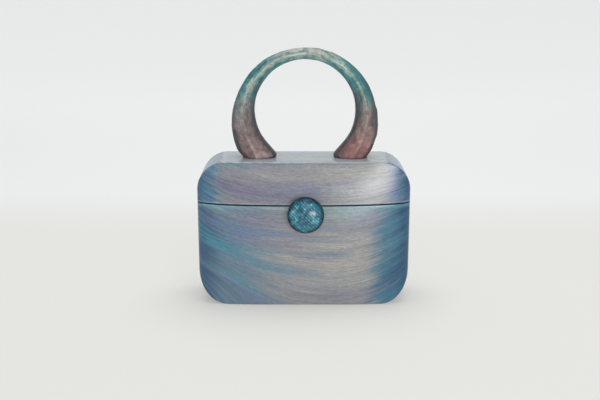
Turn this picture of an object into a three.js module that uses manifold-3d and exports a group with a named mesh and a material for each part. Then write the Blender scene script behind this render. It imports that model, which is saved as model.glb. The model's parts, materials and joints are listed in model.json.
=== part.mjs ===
// Wooden handbag: a hollow body, a hinged lid of the same outline, a carved ring handle on the lid,
// a domed knob that overlaps the seam as the lid's pull, and two small butt hinges on the back.
// Millimetres, +Z up. The front looks along -Y, and the origin is under the middle of the base.
import * as THREE from 'three';
import { mergeVertices } from 'three/addons/utils/BufferGeometryUtils.js';
import Module from 'manifold-3d';

const wasm = await Module();
wasm.setup();

// Body and lid together: the outline seen from the front
const WIDTH = 200;
const HEIGHT = 137;
const SIDE_TAPER = 0.4;
const TOP_CORNER = { front: { rx: 29, rz: 31.5 }, back: { rx: 26, rz: 28 } };
const BOTTOM_CORNER = { rx: 27, rz: 34 };

// Body and lid together: the front and back faces
const EDGE_DEPTH = 62;
const FRONT_PILLOW = 8;
const FRONT_END = { recess: 15, power: 4 };
const BACK_END = { recess: 6, power: 8 };
const END_ROUNDNESS = 0.4;

// Walls and the seam between body and lid
const WALL = 8;
const SEAM = 97.8;
const SEAM_GAP = 0.8;

// Ring handle: the inner circle stands higher than the outer one, so the ring thickens to its feet,
// and below its last angle the inside runs straight to the toes
const FIT_GAP = 0.3;
const HANDLE_X = 1.2;
const RING_OUTER = { radius: 67.2, centre: HEIGHT + 34 };
const RING_INNER = { radius: 47.2, centre: HEIGHT + 43.9, lastAngle: 130 };
const TOE = { x: 26.6, height: 2.4, ease: 1.2 };
const GRIP_DEPTH = 19;
const FOOT_DEPTH = 32;
const HANDLE_STEPS = 22;

// Knob and the dowel that carries it
const KNOB = { x: 1.7, z: 90.2, radius: 16.8, height: 12, rim: 3, ease: 1.5, back: -39.5 };
const DOWEL = { z: 102.3, radius: 3, inLid: 4.5, inKnob: 3, sides: 14 };

// Butt hinges, let into the back across the seam
const HINGE_X = 50;
const LEAF = { width: 26, height: 13, thick: 1.2 };
const KNUCKLE = { radius: 2.2, bore: 1.5, middle: 8.4, gap: 0.4, sides: 16 };
const PIN_RADIUS = 1.1;
const BACK_FACE = EDGE_DEPTH / 2;
const HINGE_AXIS = new THREE.Vector3(0, BACK_FACE - LEAF.thick + KNUCKLE.radius, SEAM);

const FINISH = {
  body: { color: 0x8f96a3, roughness: 0.42, metalness: 0 },
  lid: { color: 0x9ba0a6, roughness: 0.42, metalness: 0 },
  handle: { color: 0x6f7f84, roughness: 0.45, metalness: 0 },
  knob: { color: 0x2f7286, roughness: 0.3, metalness: 0 },
  dowel: { color: 0xb89a72, roughness: 0.6, metalness: 0 },
  brass: { color: 0xb08d45, roughness: 0.35, metalness: 1 },
};

// A closed geometry as a solid that can be joined and cut
function solid(geometry) {
  const bare = geometry.clone();
  bare.deleteAttribute('normal');
  bare.deleteAttribute('uv');
  const merged = mergeVertices(bare, 1e-4);
  const vertProperties = new Float32Array(merged.attributes.position.array);
  const triVerts = new Uint32Array(merged.index.array);
  return new wasm.Manifold(new wasm.Mesh({ numProp: 3, vertProperties, triVerts }));
}

function geometryOf(manifold) {
  const { vertProperties, triVerts } = manifold.getMesh();
  const geometry = new THREE.BufferGeometry();
  geometry.setAttribute('position', new THREE.BufferAttribute(vertProperties, 3));
  geometry.setIndex(new THREE.BufferAttribute(triVerts, 1));
  return geometry;
}

function boxSolid([x0, x1], [y0, y1], [z0, z1]) {
  const box = new THREE.BoxGeometry(x1 - x0, y1 - y0, z1 - z0);
  return solid(box.translate((x0 + x1) / 2, (y0 + y1) / 2, (z0 + z1) / 2));
}

function piece(name, geometry, finish) {
  const mesh = new THREE.Mesh(geometry, new THREE.MeshStandardMaterial(finish));
  mesh.name = name;
  return mesh;
}

// Outline from the top middle round by the right side, with given top corners and drawn in by an inset
function outlinePoints(corner, inset, arcSteps, lineSteps) {
  const half = WIDTH / 2 - inset;
  const foot = half - SIDE_TAPER;
  const top = HEIGHT - inset;
  const upper = { rx: corner.rx - inset, rz: corner.rz - inset };
  const lower = { rx: BOTTOM_CORNER.rx - inset, rz: BOTTOM_CORNER.rz - inset };
  const quarter = Math.PI / 2;
  const path = new THREE.Path();
  const run = (x, z) => {
    const start = path.currentPoint.clone();
    const end = new THREE.Vector2(x, z);
    for (let k = 1; k <= lineSteps; k++) {
      const at = start.clone().lerp(end, k / lineSteps);
      path.lineTo(at.x, at.y);
    }
  };
  path.moveTo(0, top);
  run(half - upper.rx, top);
  path.absellipse(half - upper.rx, top - upper.rz, upper.rx, upper.rz, quarter, 0, true);
  run(foot, inset + lower.rz);
  path.absellipse(foot - lower.rx, inset + lower.rz, lower.rx, lower.rz, 0, -quarter, true);
  run(0, inset);
  run(lower.rx - foot, inset);
  path.absellipse(lower.rx - foot, inset + lower.rz, lower.rx, lower.rz, -quarter, -2 * quarter, true);
  run(-half, top - upper.rz);
  path.absellipse(upper.rx - half, top - upper.rz, upper.rx, upper.rz, -2 * quarter, -3 * quarter, true);
  run(0, top);
  return path.getPoints(arcSteps / 2);
}

// How far a face falls back at distance x from the middle, more and more steeply to the ends
function endRecess(x, { recess, power }) {
  const t = Math.min(Math.abs(x) / (WIDTH / 2), 1);
  return recess * (1 - (1 - t ** power) ** END_ROUNDNESS);
}

function frontFace(x, z) {
  const across = 1 - (x / (WIDTH / 2)) ** 2;
  const upright = 1 - (2 * z / HEIGHT - 1) ** 2;
  return endRecess(x, FRONT_END) - EDGE_DEPTH / 2 - FRONT_PILLOW * across * upright;
}

function backFace(x) {
  return EDGE_DEPTH / 2 - endRecess(x, BACK_END);
}

// The pebble form: a lens of revolution about Y, drawn out to the outlines and set on the two faces
function pebble(inset, arcSteps, lineSteps, frontRings, backRings) {
  const front = outlinePoints(TOP_CORNER.front, inset, arcSteps, lineSteps);
  const back = outlinePoints(TOP_CORNER.back, inset, arcSteps, lineSteps);
  const rings = [
    ...frontRings.map((scale) => ({ scale, outline: front, face: (x, z) => frontFace(x, z) + inset })),
    ...backRings.map((scale) => ({ scale, outline: back, face: (x) => backFace(x) - inset })),
  ];
  const profile = rings.map(({ scale }, row) => new THREE.Vector2(scale, row));
  const geometry = new THREE.LatheGeometry(profile, front.length - 1);
  const middle = new THREE.Vector2(0, HEIGHT / 2);
  front.forEach((_, column) => {
    rings.forEach(({ scale, outline, face }, row) => {
      const at = middle.clone().lerp(outline[column], scale);
      const index = column * rings.length + row;
      geometry.attributes.position.setXYZ(index, at.x, face(at.x, at.y), at.y);
    });
  });
  return solid(geometry);
}

// Body and lid are one hollow form sawn through at the seam
function hollowForm() {
  const outside = pebble(0, 12, 6, [0, 0.3, 0.55, 0.75, 0.88, 0.95, 0.985, 1], [1, 0.985, 0.93, 0.6, 0]);
  const inside = pebble(WALL, 6, 3, [0, 0.5, 0.85, 1], [1, 0]);
  return outside.subtract(inside);
}

function leafRecesses() {
  const halfWidth = LEAF.width / 2 + FIT_GAP;
  const reach = LEAF.height + FIT_GAP;
  const floor = BACK_FACE - LEAF.thick - FIT_GAP;
  const recess = (x) => boxSolid([x - halfWidth, x + halfWidth], [floor, BACK_FACE + 10],
    [SEAM - reach, SEAM + reach]);
  return recess(-HINGE_X).add(recess(HINGE_X));
}

function dowelForm(clearance) {
  const face = frontFace(KNOB.x, DOWEL.z);
  const start = KNOB.back - DOWEL.inKnob - clearance;
  const end = face + DOWEL.inLid + clearance;
  const radius = DOWEL.radius + clearance;
  const rod = new THREE.CylinderGeometry(radius, radius, end - start, DOWEL.sides);
  return rod.translate(KNOB.x, (start + end) / 2, DOWEL.z);
}

function bodyGeometry(form) {
  const below = boxSolid([-WIDTH, WIDTH], [-WIDTH, WIDTH], [-HEIGHT, SEAM - SEAM_GAP / 2]);
  return geometryOf(form.intersect(below).subtract(leafRecesses()));
}

function lidGeometry(form) {
  const above = boxSolid([-WIDTH, WIDTH], [-WIDTH, WIDTH], [SEAM + SEAM_GAP / 2, 2 * HEIGHT]);
  const bored = solid(dowelForm(FIT_GAP));
  return geometryOf(form.intersect(above).subtract(leafRecesses()).subtract(bored));
}

// Carved section of the handle: u runs from the ring's inside to its outside, v from front to back
const SECTION = [
  { u: 0.05, v: -1 }, { u: 0.7, v: -0.72 }, { u: 1, v: -0.25 }, { u: 1, v: 0.25 }, { u: 0.7, v: 0.72 },
  { u: 0.05, v: 1 }, { u: -0.66, v: 0.74 }, { u: -1, v: 0.28 }, { u: -1, v: -0.28 }, { u: -0.66, v: -0.74 },
];

// Outer and inner edges of the ring's right half, from the crown down to the foot
const handleBase = HEIGHT + FIT_GAP;
const footAngle = Math.asin((handleBase - RING_OUTER.centre) / RING_OUTER.radius);
const toeAngle = Math.PI / 2 - THREE.MathUtils.degToRad(RING_INNER.lastAngle);
const outerEdge = new THREE.Path();
outerEdge.absarc(0, RING_OUTER.centre, RING_OUTER.radius, Math.PI / 2, footAngle, true);
const innerEdge = new THREE.Path();
innerEdge.absarc(0, RING_INNER.centre, RING_INNER.radius, Math.PI / 2, toeAngle, true);
innerEdge.lineTo(TOE.x, handleBase + TOE.height);

// One station of the handle, counted from the crown (0) to the left (negative) or right foot
function handleStation(station) {
  const count = Math.abs(station);
  const side = station < 0 ? -1 : 1;
  const outer = outerEdge.getPointAt(count / HANDLE_STEPS);
  const inner = count < HANDLE_STEPS
    ? innerEdge.getPointAt(count / (HANDLE_STEPS - 1))
    : new THREE.Vector2(TOE.x + TOE.ease, handleBase);
  const centre = outer.clone().lerp(inner, 0.5);
  const reach = outer.sub(inner).multiplyScalar(0.5);
  const depth = GRIP_DEPTH + (FOOT_DEPTH - GRIP_DEPTH) * (count / HANDLE_STEPS) ** 3;
  return { x: HANDLE_X + side * centre.x, z: centre.y, reachX: side * reach.x, reachZ: reach.y, depth };
}

// A faceted rod whose rings of points are set on the handle's stations
function handleGeometry() {
  const sides = SECTION.length;
  const steps = 2 * HANDLE_STEPS;
  const rod = new THREE.CylinderGeometry(1, 1, 2, sides, steps);
  const { position } = rod.attributes;
  for (let i = 0; i < position.count; i++) {
    const at = handleStation(-Math.round(position.getY(i) * HANDLE_STEPS));
    const turn = Math.atan2(position.getX(i), position.getZ(i)) / (2 * Math.PI);
    const { u, v } = SECTION[(Math.round(turn * sides) + sides) % sides];
    const spread = Math.round(Math.hypot(position.getX(i), position.getZ(i)));
    const along = { x: spread * u * at.reachX, z: spread * u * at.reachZ };
    position.setXYZ(i, at.x + along.x, spread * v * at.depth / 2, at.z + along.z);
  }
  return geometryOf(solid(rod));
}

function knobGeometry() {
  const dome = new THREE.EllipseCurve(0, -KNOB.rim, KNOB.radius, KNOB.height - KNOB.rim, -Math.PI / 2, 0);
  const profile = dome.getPoints(9);
  profile[0].x = 0;
  profile.push(new THREE.Vector2(KNOB.radius, -KNOB.ease));
  profile.push(new THREE.Vector2(KNOB.radius - KNOB.ease, 0));
  profile.push(new THREE.Vector2(0, 0));
  const button = new THREE.LatheGeometry(profile, 28).translate(KNOB.x, KNOB.back, KNOB.z);
  return geometryOf(solid(button).subtract(solid(dowelForm(FIT_GAP))));
}

function hingeRod(radius, x0, x1) {
  const rod = new THREE.CylinderGeometry(radius, radius, x1 - x0, KNUCKLE.sides);
  return solid(rod.rotateZ(Math.PI / 2).translate((x0 + x1) / 2, HINGE_AXIS.y, HINGE_AXIS.z));
}

// A leaf: a plate above (1) or below (-1) the seam, with a knuckle and its web at each given stretch
function leafGeometry(direction, knuckleStretches) {
  const front = BACK_FACE - LEAF.thick;
  const near = SEAM + direction * (KNUCKLE.radius + KNUCKLE.gap);
  const far = SEAM + direction * LEAF.height;
  const ordered = (a, b) => [Math.min(a, b), Math.max(a, b)];
  let leaf = boxSolid([-LEAF.width / 2, LEAF.width / 2], [front, BACK_FACE], ordered(near, far));
  for (const [x0, x1] of knuckleStretches) {
    const web = boxSolid([x0, x1], [front, BACK_FACE], ordered(SEAM, near + direction));
    leaf = leaf.add(web).add(hingeRod(KNUCKLE.radius, x0, x1));
  }
  return geometryOf(leaf.subtract(hingeRod(KNUCKLE.bore, -LEAF.width, LEAF.width)));
}

const outerKnuckles = [
  [-LEAF.width / 2, -KNUCKLE.middle / 2 - KNUCKLE.gap],
  [KNUCKLE.middle / 2 + KNUCKLE.gap, LEAF.width / 2],
];
const middleKnuckle = [[-KNUCKLE.middle / 2, KNUCKLE.middle / 2]];
const bodyLeaf = leafGeometry(-1, outerKnuckles);
const lidLeaf = leafGeometry(1, middleKnuckle);
const pinRod = geometryOf(hingeRod(PIN_RADIUS, -LEAF.width / 2, LEAF.width / 2));

const form = hollowForm();
const base = new THREE.Group();
base.add(piece('body', bodyGeometry(form), FINISH.body));

// The lid's group stands on the hinge axis, so turning it about X opens the lid
const lid = new THREE.Group();
lid.position.copy(HINGE_AXIS);
const lidPieces = [
  piece('lid', lidGeometry(form), FINISH.lid),
  piece('handle', handleGeometry(), FINISH.handle),
  piece('knob', knobGeometry(), FINISH.knob),
  piece('knob_dowel', geometryOf(solid(dowelForm(0))), FINISH.dowel),
];

for (const [side, x] of [['left', -HINGE_X], ['right', HINGE_X]]) {
  base.add(piece(`hinge_body_leaf_${side}`, bodyLeaf.clone().translate(x, 0, 0), FINISH.brass));
  base.add(piece(`hinge_pin_${side}`, pinRod.clone().translate(x, 0, 0), FINISH.brass));
  lidPieces.push(piece(`hinge_lid_leaf_${side}`, lidLeaf.clone().translate(x, 0, 0), FINISH.brass));
}
for (const mesh of lidPieces) {
  mesh.position.copy(HINGE_AXIS).negate();
  lid.add(mesh);
}

const bag = new THREE.Group();
bag.add(base, lid);

export default bag;
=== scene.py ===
"""Looks of a dyed wooden handbag: hollow body, hinged lid, carved ring handle, turned knob and brass hinges.

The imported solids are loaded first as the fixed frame, and every piece here is built in metres around them:
+Z up, the front with the knob towards -Y, the origin under the middle of the base.
"""

import json
import math

import bmesh
import bpy
import numpy as np
from bpy.props import FloatProperty, FloatVectorProperty, IntProperty, PointerProperty
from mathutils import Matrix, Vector


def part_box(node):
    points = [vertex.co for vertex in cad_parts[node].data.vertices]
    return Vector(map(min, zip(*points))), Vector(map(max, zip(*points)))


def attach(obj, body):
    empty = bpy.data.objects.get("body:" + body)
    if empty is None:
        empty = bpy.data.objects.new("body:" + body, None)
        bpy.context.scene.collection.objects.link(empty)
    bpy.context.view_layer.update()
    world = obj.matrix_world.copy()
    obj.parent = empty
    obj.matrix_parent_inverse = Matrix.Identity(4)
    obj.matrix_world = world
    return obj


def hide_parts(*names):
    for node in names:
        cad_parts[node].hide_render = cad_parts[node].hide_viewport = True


bl_info = {
    "name": "Dyed Wooden Handbag",
    "version": (1, 0, 0),
    "blender": (4, 5, 0),
    "location": "3D View > Sidebar > Handbag",
    "description": "Builds a hollow wooden handbag with a carved ring handle around its packed solids",
    "category": "Add Mesh",
}

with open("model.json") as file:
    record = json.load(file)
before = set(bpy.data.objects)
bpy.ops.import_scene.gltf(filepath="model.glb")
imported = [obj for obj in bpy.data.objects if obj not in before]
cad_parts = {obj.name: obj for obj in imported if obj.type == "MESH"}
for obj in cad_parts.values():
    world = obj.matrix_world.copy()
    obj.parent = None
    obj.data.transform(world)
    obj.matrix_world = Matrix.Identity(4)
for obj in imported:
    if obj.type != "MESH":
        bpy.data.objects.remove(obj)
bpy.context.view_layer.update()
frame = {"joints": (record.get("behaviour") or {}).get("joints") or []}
BODY_LOW, BODY_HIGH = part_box("body")
LID_LOW, LID_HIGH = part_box("lid")
HANDLE_LOW, HANDLE_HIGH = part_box("handle")
KNOB_LOW, KNOB_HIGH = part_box("knob")
DOWEL_LOW, DOWEL_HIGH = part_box("knob_dowel")
LEAF_LOW, LEAF_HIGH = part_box("hinge_body_leaf_right")
PIN_LOW, PIN_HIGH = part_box("hinge_pin_right")
LEAF_HALF = (LEAF_HIGH.x - LEAF_LOW.x) / 2
HINGE_AXIS = Vector(frame["joints"][0]["pos_m"])

MM_PER_M = 1000.0
MERGE_DISTANCE = 1e-7


def linear(code):
    """An sRGB hex value as a linear colour with full alpha."""
    shares = [int(code[i:i + 2], 16) / 255 for i in (1, 3, 5)]
    return tuple(s / 12.92 if s <= 0.04045 else ((s + 0.055) / 1.055) ** 2.4 for s in shares) + (1.0,)


def size(name, description, default):
    """A length in metres that shows in the scene's units."""
    return FloatProperty(name=name, description=description, default=default, unit="LENGTH", precision=5)


def share(name, description, default):
    """A plain number without a unit."""
    return FloatProperty(name=name, description=description, default=default)


def watts(name, description, default):
    """A light's power in watts."""
    return FloatProperty(name=name, description=description, default=default, unit="POWER")


def angle(name, description, degrees):
    """An angle that is given in degrees."""
    return FloatProperty(name=name, description=description, default=math.radians(degrees), subtype="ANGLE")


def colour(name, description, code):
    """A colour that starts from an sRGB hex value."""
    return FloatVectorProperty(name=name, description=description, default=linear(code), size=4,
                               subtype="COLOR", min=0.0, max=1.0)


class HANDBAG_PG_shell(bpy.types.PropertyGroup):
    """Form of the body and the lid, which are one hollow pebble sawn through at the seam"""

    width: size("Width", "Over both ends", LID_HIGH.x - LID_LOW.x)
    height: size("Height", "From the base to the lid's top", LID_HIGH.z)
    edge_depth: size("Edge depth", "From front to back along the top and bottom edges", 2 * BODY_HIGH.y)
    pillow: size("Front pillow", "How far the middle of the front swells", -BODY_LOW.y - BODY_HIGH.y)
    side_taper: size("Side taper", "How much narrower each side is at the foot", 0.0004)
    top_rx: size("Top corner width", "Width of the rounded top corners at the front", 0.029)
    top_rz: size("Top corner height", "Height of the rounded top corners at the front", 0.0315)
    top_back_rx: size("Back top corner width", "Width of the rounded top corners at the back", 0.026)
    top_back_rz: size("Back top corner height", "Height of the rounded top corners at the back", 0.028)
    bottom_rx: size("Bottom corner width", "Width of the rounded bottom corners", 0.027)
    bottom_rz: size("Bottom corner height", "Height of the rounded bottom corners", 0.034)
    front_recess: size("Front end recess", "How far the front falls back at the ends", 0.015)
    back_recess: size("Back end recess", "How far the back falls forward at the ends", 0.006)
    front_power: share("Front end power", "How late the front starts to fall back", 4.0)
    back_power: share("Back end power", "How late the back starts to fall forward", 8.0)
    end_roundness: share("End roundness", "Exponent of the rounded ends", 0.4)
    wall: size("Wall", "Thickness of the wood", 0.008)
    edge_round: size("Edge round", "Sanding of the edge between a face and the sides", 0.0014)
    hollow_round: size("Hollow round", "Rounding of the routed hollow's edges", 0.0025)
    rim_round: size("Rim round", "Sanding of the sawn rims", 0.0003)
    body_rim: size("Body rim", "Height of the body's sawn rim", BODY_HIGH.z)
    lid_rim: size("Lid rim", "Height of the lid's sawn rim", LID_LOW.z)


class HANDBAG_PG_handle(bpy.types.PropertyGroup):
    """Form of the carved ring handle"""

    middle_x: size("Middle", "Sideways place of the ring", (HANDLE_LOW.x + HANDLE_HIGH.x) / 2)
    outer_radius: size("Outer radius", "Radius of the ring's outside", (HANDLE_HIGH.x - HANDLE_LOW.x) / 2)
    crown: size("Crown", "Highest point of the ring", HANDLE_HIGH.z)
    inner_radius: size("Inner radius", "Radius of the ring's inside", 0.0472)
    crown_thick: size("Crown thickness", "Thickness of the ring at its crown", 0.0101)
    inner_sweep: angle("Inner sweep", "From the crown to where the inside runs straight", 130)
    toe_x: size("Toe", "Inner end of a foot from the ring's middle", 0.0266)
    toe_height: size("Toe height", "Height of a foot's inner end", 0.0024)
    toe_ease: size("Toe ease", "How far the toe is undercut at the lid", 0.0012)
    grip_depth: size("Grip depth", "Front to back at the crown", 0.019)
    foot_depth: size("Foot depth", "Front to back at the feet", HANDLE_HIGH.y - HANDLE_LOW.y)
    foot_z: size("Foot height", "Where the feet stand on the lid", LID_HIGH.z)
    facet_length: size("Facet length", "Length of a knife cut", 0.022)
    facet_width: size("Facet width", "Width of a knife cut", 0.0075)
    cut_depth: size("Cut depth", "How deep a knife cut sits in the wood", 0.00025)
    flatness: share("Flatness", "How flat a cut is across, from 0 to 1", 0.95)
    straightness: share("Straightness", "How straight a cut is along the ring, from 0 to 1", 0.3)
    tilt: share("Tilt", "How far a cut leans its own way, as a share of its normal", 0.4)
    seed: IntProperty(name="Seed", description="Choice of where the knife cuts fall", default=4)


class HANDBAG_PG_fittings(bpy.types.PropertyGroup):
    """Sizes of the knob and the hinges"""

    knob_dome: size("Knob dome", "Height of the knob's dome over its rim", 0.009)
    knob_ease: size("Knob ease", "Rounding of the knob's back edge", 0.0015)
    knob_cut: size("Knob cut", "Depth of the knife cuts across the knob", 0.000045)
    leaf_thick: size("Leaf thickness", "Thickness of a hinge leaf", 0.0012)
    leaf_height: size("Leaf height", "From the hinge's axis to a leaf's far edge", HINGE_AXIS.z - LEAF_LOW.z)
    knuckle_radius: size("Knuckle radius", "Outer radius of a hinge knuckle", LEAF_HIGH.y - HINGE_AXIS.y)
    knuckle_bore: size("Knuckle bore", "Inner radius of a hinge knuckle", 0.0015)
    knuckle_middle: size("Middle knuckle", "Length of the lid leaf's knuckle", 0.0084)
    knuckle_gap: size("Knuckle gap", "Play between knuckles", 0.0004)
    fit_gap: size("Fit gap", "Play of a leaf in its recess", 0.0003)
    screw_radius: size("Screw head", "Radius of a screw head", 0.0019)
    screw_pitch: size("Screw pitch", "Distance between the two screws of a leaf", 0.0165)
    screw_drop: size("Screw drop", "Height of the screws from the hinge's axis", 0.0082)
    screw_proud: size("Screw dome", "How far a screw head stands over its leaf", 0.00035)
    screw_seed: IntProperty(name="Screw seed", description="Choice of each screw's turn", default=3)


class HANDBAG_PG_colours(bpy.types.PropertyGroup):
    """Dyes, painted sheen and shade, bare woods, brass and the stage"""

    pale_wood: colour("Pale wood", "Thinly dyed wood in the pale bands", "#9d9b97")
    grey_wood: colour("Grey wood", "Thinly dyed wood between the pale bands", "#7f838c")
    mauve: colour("Mauve", "Grey-violet dye in washes over the front", "#7b7988")
    violet: colour("Violet", "Streaks of violet dye over the lid's rim", "#6a6688")
    periwinkle: colour("Periwinkle", "Blue-violet dye between the other washes", "#657599")
    slate: colour("Slate", "Blue-grey dye left of the middle, and a blue-grey band along the lid's top edge", "#58758b")
    teal: colour("Teal", "Blue-green dye that sweeps in from the left", "#3a859d")
    sea_green: colour("Sea green", "Paler blue-green dye", "#558a92")
    end_teal: colour("End teal", "Blue-green dye inside the body's right end", "#1f6882")
    end_blue: colour("End blue", "Deep dye on the ends", "#0a446a")
    end_cyan: colour("End cyan", "Clear blue dye inside the lid's ends", "#3b7090")
    seam_teal: colour("Seam teal", "Dye along the body's rim", "#78a4ae")
    # Painted shade on the rims in the seam
    rim_teal: colour("Painted seam shade", "Painted shade, dark teal, on the sawn rims in the seam", "#15475a")
    # Painted sheen and painted highlight on the lid, not a dye
    edge_pale: colour("Painted sheen", "Painted sheen on the lid's right and painted highlight above its lower rim", "#a5a6ab")
    # Painted sheen on the lid's top
    top_pale: colour("Painted top sheen", "Painted sheen over the lid's top", "#bcc5c9")
    crown_pale: colour("Crown pale", "Thin dye on the handle's crown", "#bab6a9")
    crown_teal: colour("Crown teal", "Blue-green dye on the upper ring", "#2d7c82")
    leg_taupe: colour("Leg taupe", "Grey-brown dye on the ring's legs", "#726866")
    foot_rose: colour("Foot rose", "Red-brown dye on the right foot", "#b47e7b")
    foot_brown: colour("Foot brown", "Brown dye on the left foot", "#8c7473")
    # Painted shade on the handle's inner and outer sides
    painted_side_shade: colour("Painted side shade", "Painted shade on the ring's inner and outer sides", "#35414c")
    knob_teal: colour("Knob teal", "Light wood of the knob under blue-green dye", "#14728a")
    knob_blue: colour("Knob blue", "Dark wood of the knob under blue-green dye", "#04233d")
    knob_light: colour("Knob light", "Palest wood of the knob under blue-green dye", "#78c0c4")
    bare_maple: colour("Bare maple", "Wood inside the bag", "#c8b08c")
    bare_maple_dark: colour("Bare maple rings", "Late wood inside the bag", "#a98b64")
    beech: colour("Beech", "Wood of the dowel", "#a38c6c")
    brass: colour("Brass", "Metal of the hinges", "#b5924c")
    brass_dull: colour("Dull brass", "Handled and darkened brass", "#8a6a34")
    floor: colour("Floor", "Matt paper that the bag stands on", "#e4e4df")
    backdrop: colour("Backdrop", "The paper further back", "#eceeed")


class HANDBAG_PG_stage(bpy.types.PropertyGroup):
    """Paper, camera and light"""

    lens: share("Lens", "Focal length in millimetres on a 36 mm wide sensor", 50.4)
    camera_place: FloatVectorProperty(name="Camera", description="Where the camera stands",
                                      default=(-0.0035, -0.7835, 0.2765), subtype="TRANSLATION")
    camera_pitch: angle("Pitch", "How far the camera looks down", 13.06)
    floor_radius: size("Floor radius", "Radius of the flat part of the paper", 1.8)
    sweep_radius: size("Sweep radius", "Radius of the curve by which the paper rises all round", 1.0)
    sky: share("Sky", "Strength of the even light from above", 0.46)
    key: watts("Key", "Power of the soft light over the camera", 2.3)
    window: watts("Window", "Power of the small low light at the right", 2.2)
    fill: watts("Fill", "Power of the soft light at the left", 1.8)
    top: watts("Top", "Power of the soft light overhead", 17.0)
    floor_glow: share("Floor glow", "Light through the paper under the bag", 0.39)
    wall_glow: share("Wall glow", "Light through the paper behind the bag", 0.535)


# Shared makers of meshes and nodes

def grid_faces(index):
    """Quads over a grid of point numbers."""
    corners = [index[:-1, :-1], index[:-1, 1:], index[1:, 1:], index[1:, :-1]]
    return np.stack(corners, axis=-1).reshape(-1, 4)


def ring_faces(index):
    """Quads over rows of point numbers whose rows are closed rings."""
    return grid_faces(np.concatenate([index, index[:, :1]], axis=1))


def shade(mesh, sharp_angle=40.0):
    """Smooth shading that keeps edges sharper than the angle, in degrees."""
    mesh.shade_smooth()
    mesh.set_sharp_from_angle(angle=math.radians(sharp_angle))


def in_scene(name, data):
    """A new object in the scene for a mesh, a light or a camera."""
    made = bpy.data.objects.new(name, data)
    bpy.context.scene.collection.objects.link(made)
    return made


def mend(mesh, step):
    """Takes one step on a mesh's points and edges and turns its faces outwards."""
    work = bmesh.new()
    work.from_mesh(mesh)
    step(work)
    bmesh.ops.recalc_face_normals(work, faces=work.faces)
    work.to_mesh(mesh)
    work.free()


def make_piece(name, points, faces, finishes, finish_of_face=None):
    """A new object at the origin from points and faces, with doubles merged and faces turned outwards."""
    mesh = bpy.data.meshes.new(name)
    mesh.from_pydata(np.asarray(points).tolist(), [], [list(f) for f in faces])
    for finish in finishes:
        mesh.materials.append(finish)
    if finish_of_face is not None:
        mesh.polygons.foreach_set("material_index", finish_of_face)
    mend(mesh, lambda work: bmesh.ops.remove_doubles(work, verts=work.verts, dist=MERGE_DISTANCE))
    shade(mesh)
    return in_scene(name, mesh)


def plain_mesh(piece):
    """Turns what the modifiers make into the piece's own mesh and removes them."""
    graph = bpy.context.evaluated_depsgraph_get()
    shown = piece.evaluated_get(graph)
    made = bpy.data.meshes.new_from_object(shown, preserve_all_data_layers=True, depsgraph=graph)
    worn = piece.data
    piece.modifiers.clear()
    piece.data = made
    bpy.data.meshes.remove(worn)
    made.name = piece.name


def combine(piece, tool, operation):
    """Joins a tool solid to a piece or cuts it out, and removes the tool."""
    step = piece.modifiers.new(operation, "BOOLEAN")
    step.operation = operation
    step.solver = "EXACT"
    step.object = tool
    plain_mesh(piece)
    bpy.data.meshes.remove(tool.data)


def box_piece(name, low, high, finishes, finish_of_faces=0):
    """A box between two corners."""
    corners = [(x, y, z) for x in (low[0], high[0]) for y in (low[1], high[1]) for z in (low[2], high[2])]
    faces = [(0, 1, 3, 2), (4, 6, 7, 5), (0, 4, 5, 1), (2, 3, 7, 6), (0, 2, 6, 4), (1, 5, 7, 3)]
    return make_piece(name, corners, faces, finishes, [finish_of_faces] * len(faces))


def lathe_piece(name, profile, centre, axis, segments, finishes):
    """A turned solid: (radius, height) points spun about an axis through centre."""
    radius, height = np.array(profile).T
    turn = np.linspace(0, 2 * math.pi, segments, endpoint=False)
    local = np.stack([np.outer(radius, np.cos(turn)), np.outer(radius, np.sin(turn)),
                      np.outer(height, np.ones(segments))], axis=-1)
    lay = np.array(Vector((0, 0, 1)).rotation_difference(Vector(axis)).to_matrix())
    points = local.reshape(-1, 3) @ lay.T + np.array(centre)
    index = np.arange(len(points)).reshape(len(radius), segments)
    return make_piece(name, points, ring_faces(index), finishes)


def place(piece, body, slot, *nodes):
    """Sets a finished piece on its body, in the place of the CAD nodes that it stands for."""
    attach(piece, body)
    if nodes:
        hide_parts(*nodes)


# Kinds of node that come up most
MATH = "ShaderNodeMath"
VECTOR = "ShaderNodeVectorMath"
SPLIT = "ShaderNodeSeparateXYZ"
JOIN = "ShaderNodeCombineXYZ"
RANGE = "ShaderNodeMapRange"
NOISE = "ShaderNodeTexNoise"
MIX = "ShaderNodeMix"


def add(tree, kind, links=(), operation=None, stops=(), **settings):
    """One node with its settings. Links give inputs, in order or by name, a value, a socket or a node."""
    made = tree.nodes.new(kind)
    if operation:
        made.operation = operation
    for setting, value in settings.items():
        setattr(made, setting, value)
    for number, (spot, value) in enumerate(stops):
        elements = made.color_ramp.elements
        element = elements[number] if number < len(elements) else elements.new(spot)
        element.position = spot
        element.color = value
    given = links if isinstance(links, dict) else dict(enumerate(links))
    for key, value in given.items():
        named = (s for s in made.inputs if s.enabled and s.name == key)
        socket = made.inputs[key] if isinstance(key, int) else next(named)
        if isinstance(value, bpy.types.Node):
            value = next(s for s in value.outputs if s.enabled)
        if isinstance(value, bpy.types.NodeSocket):
            tree.links.new(value, socket)
        else:
            socket.default_value = value
    return made


def new_finish(name):
    """An empty node material, its tree, the colours at hand and the place on the object in metres."""
    finish = bpy.data.materials.new(name)
    finish.use_nodes = True
    tree = finish.node_tree
    tree.nodes.clear()
    spot = add(tree, "ShaderNodeTexCoord").outputs["Object"]
    return finish, tree, bpy.context.scene.handbag_colours, spot


def end_finish(tree, looks):
    """Ends a material with a shader that has these looks."""
    shader = add(tree, "ShaderNodeBsdfPrincipled", looks)
    add(tree, "ShaderNodeOutputMaterial", {"Surface": shader})


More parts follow.
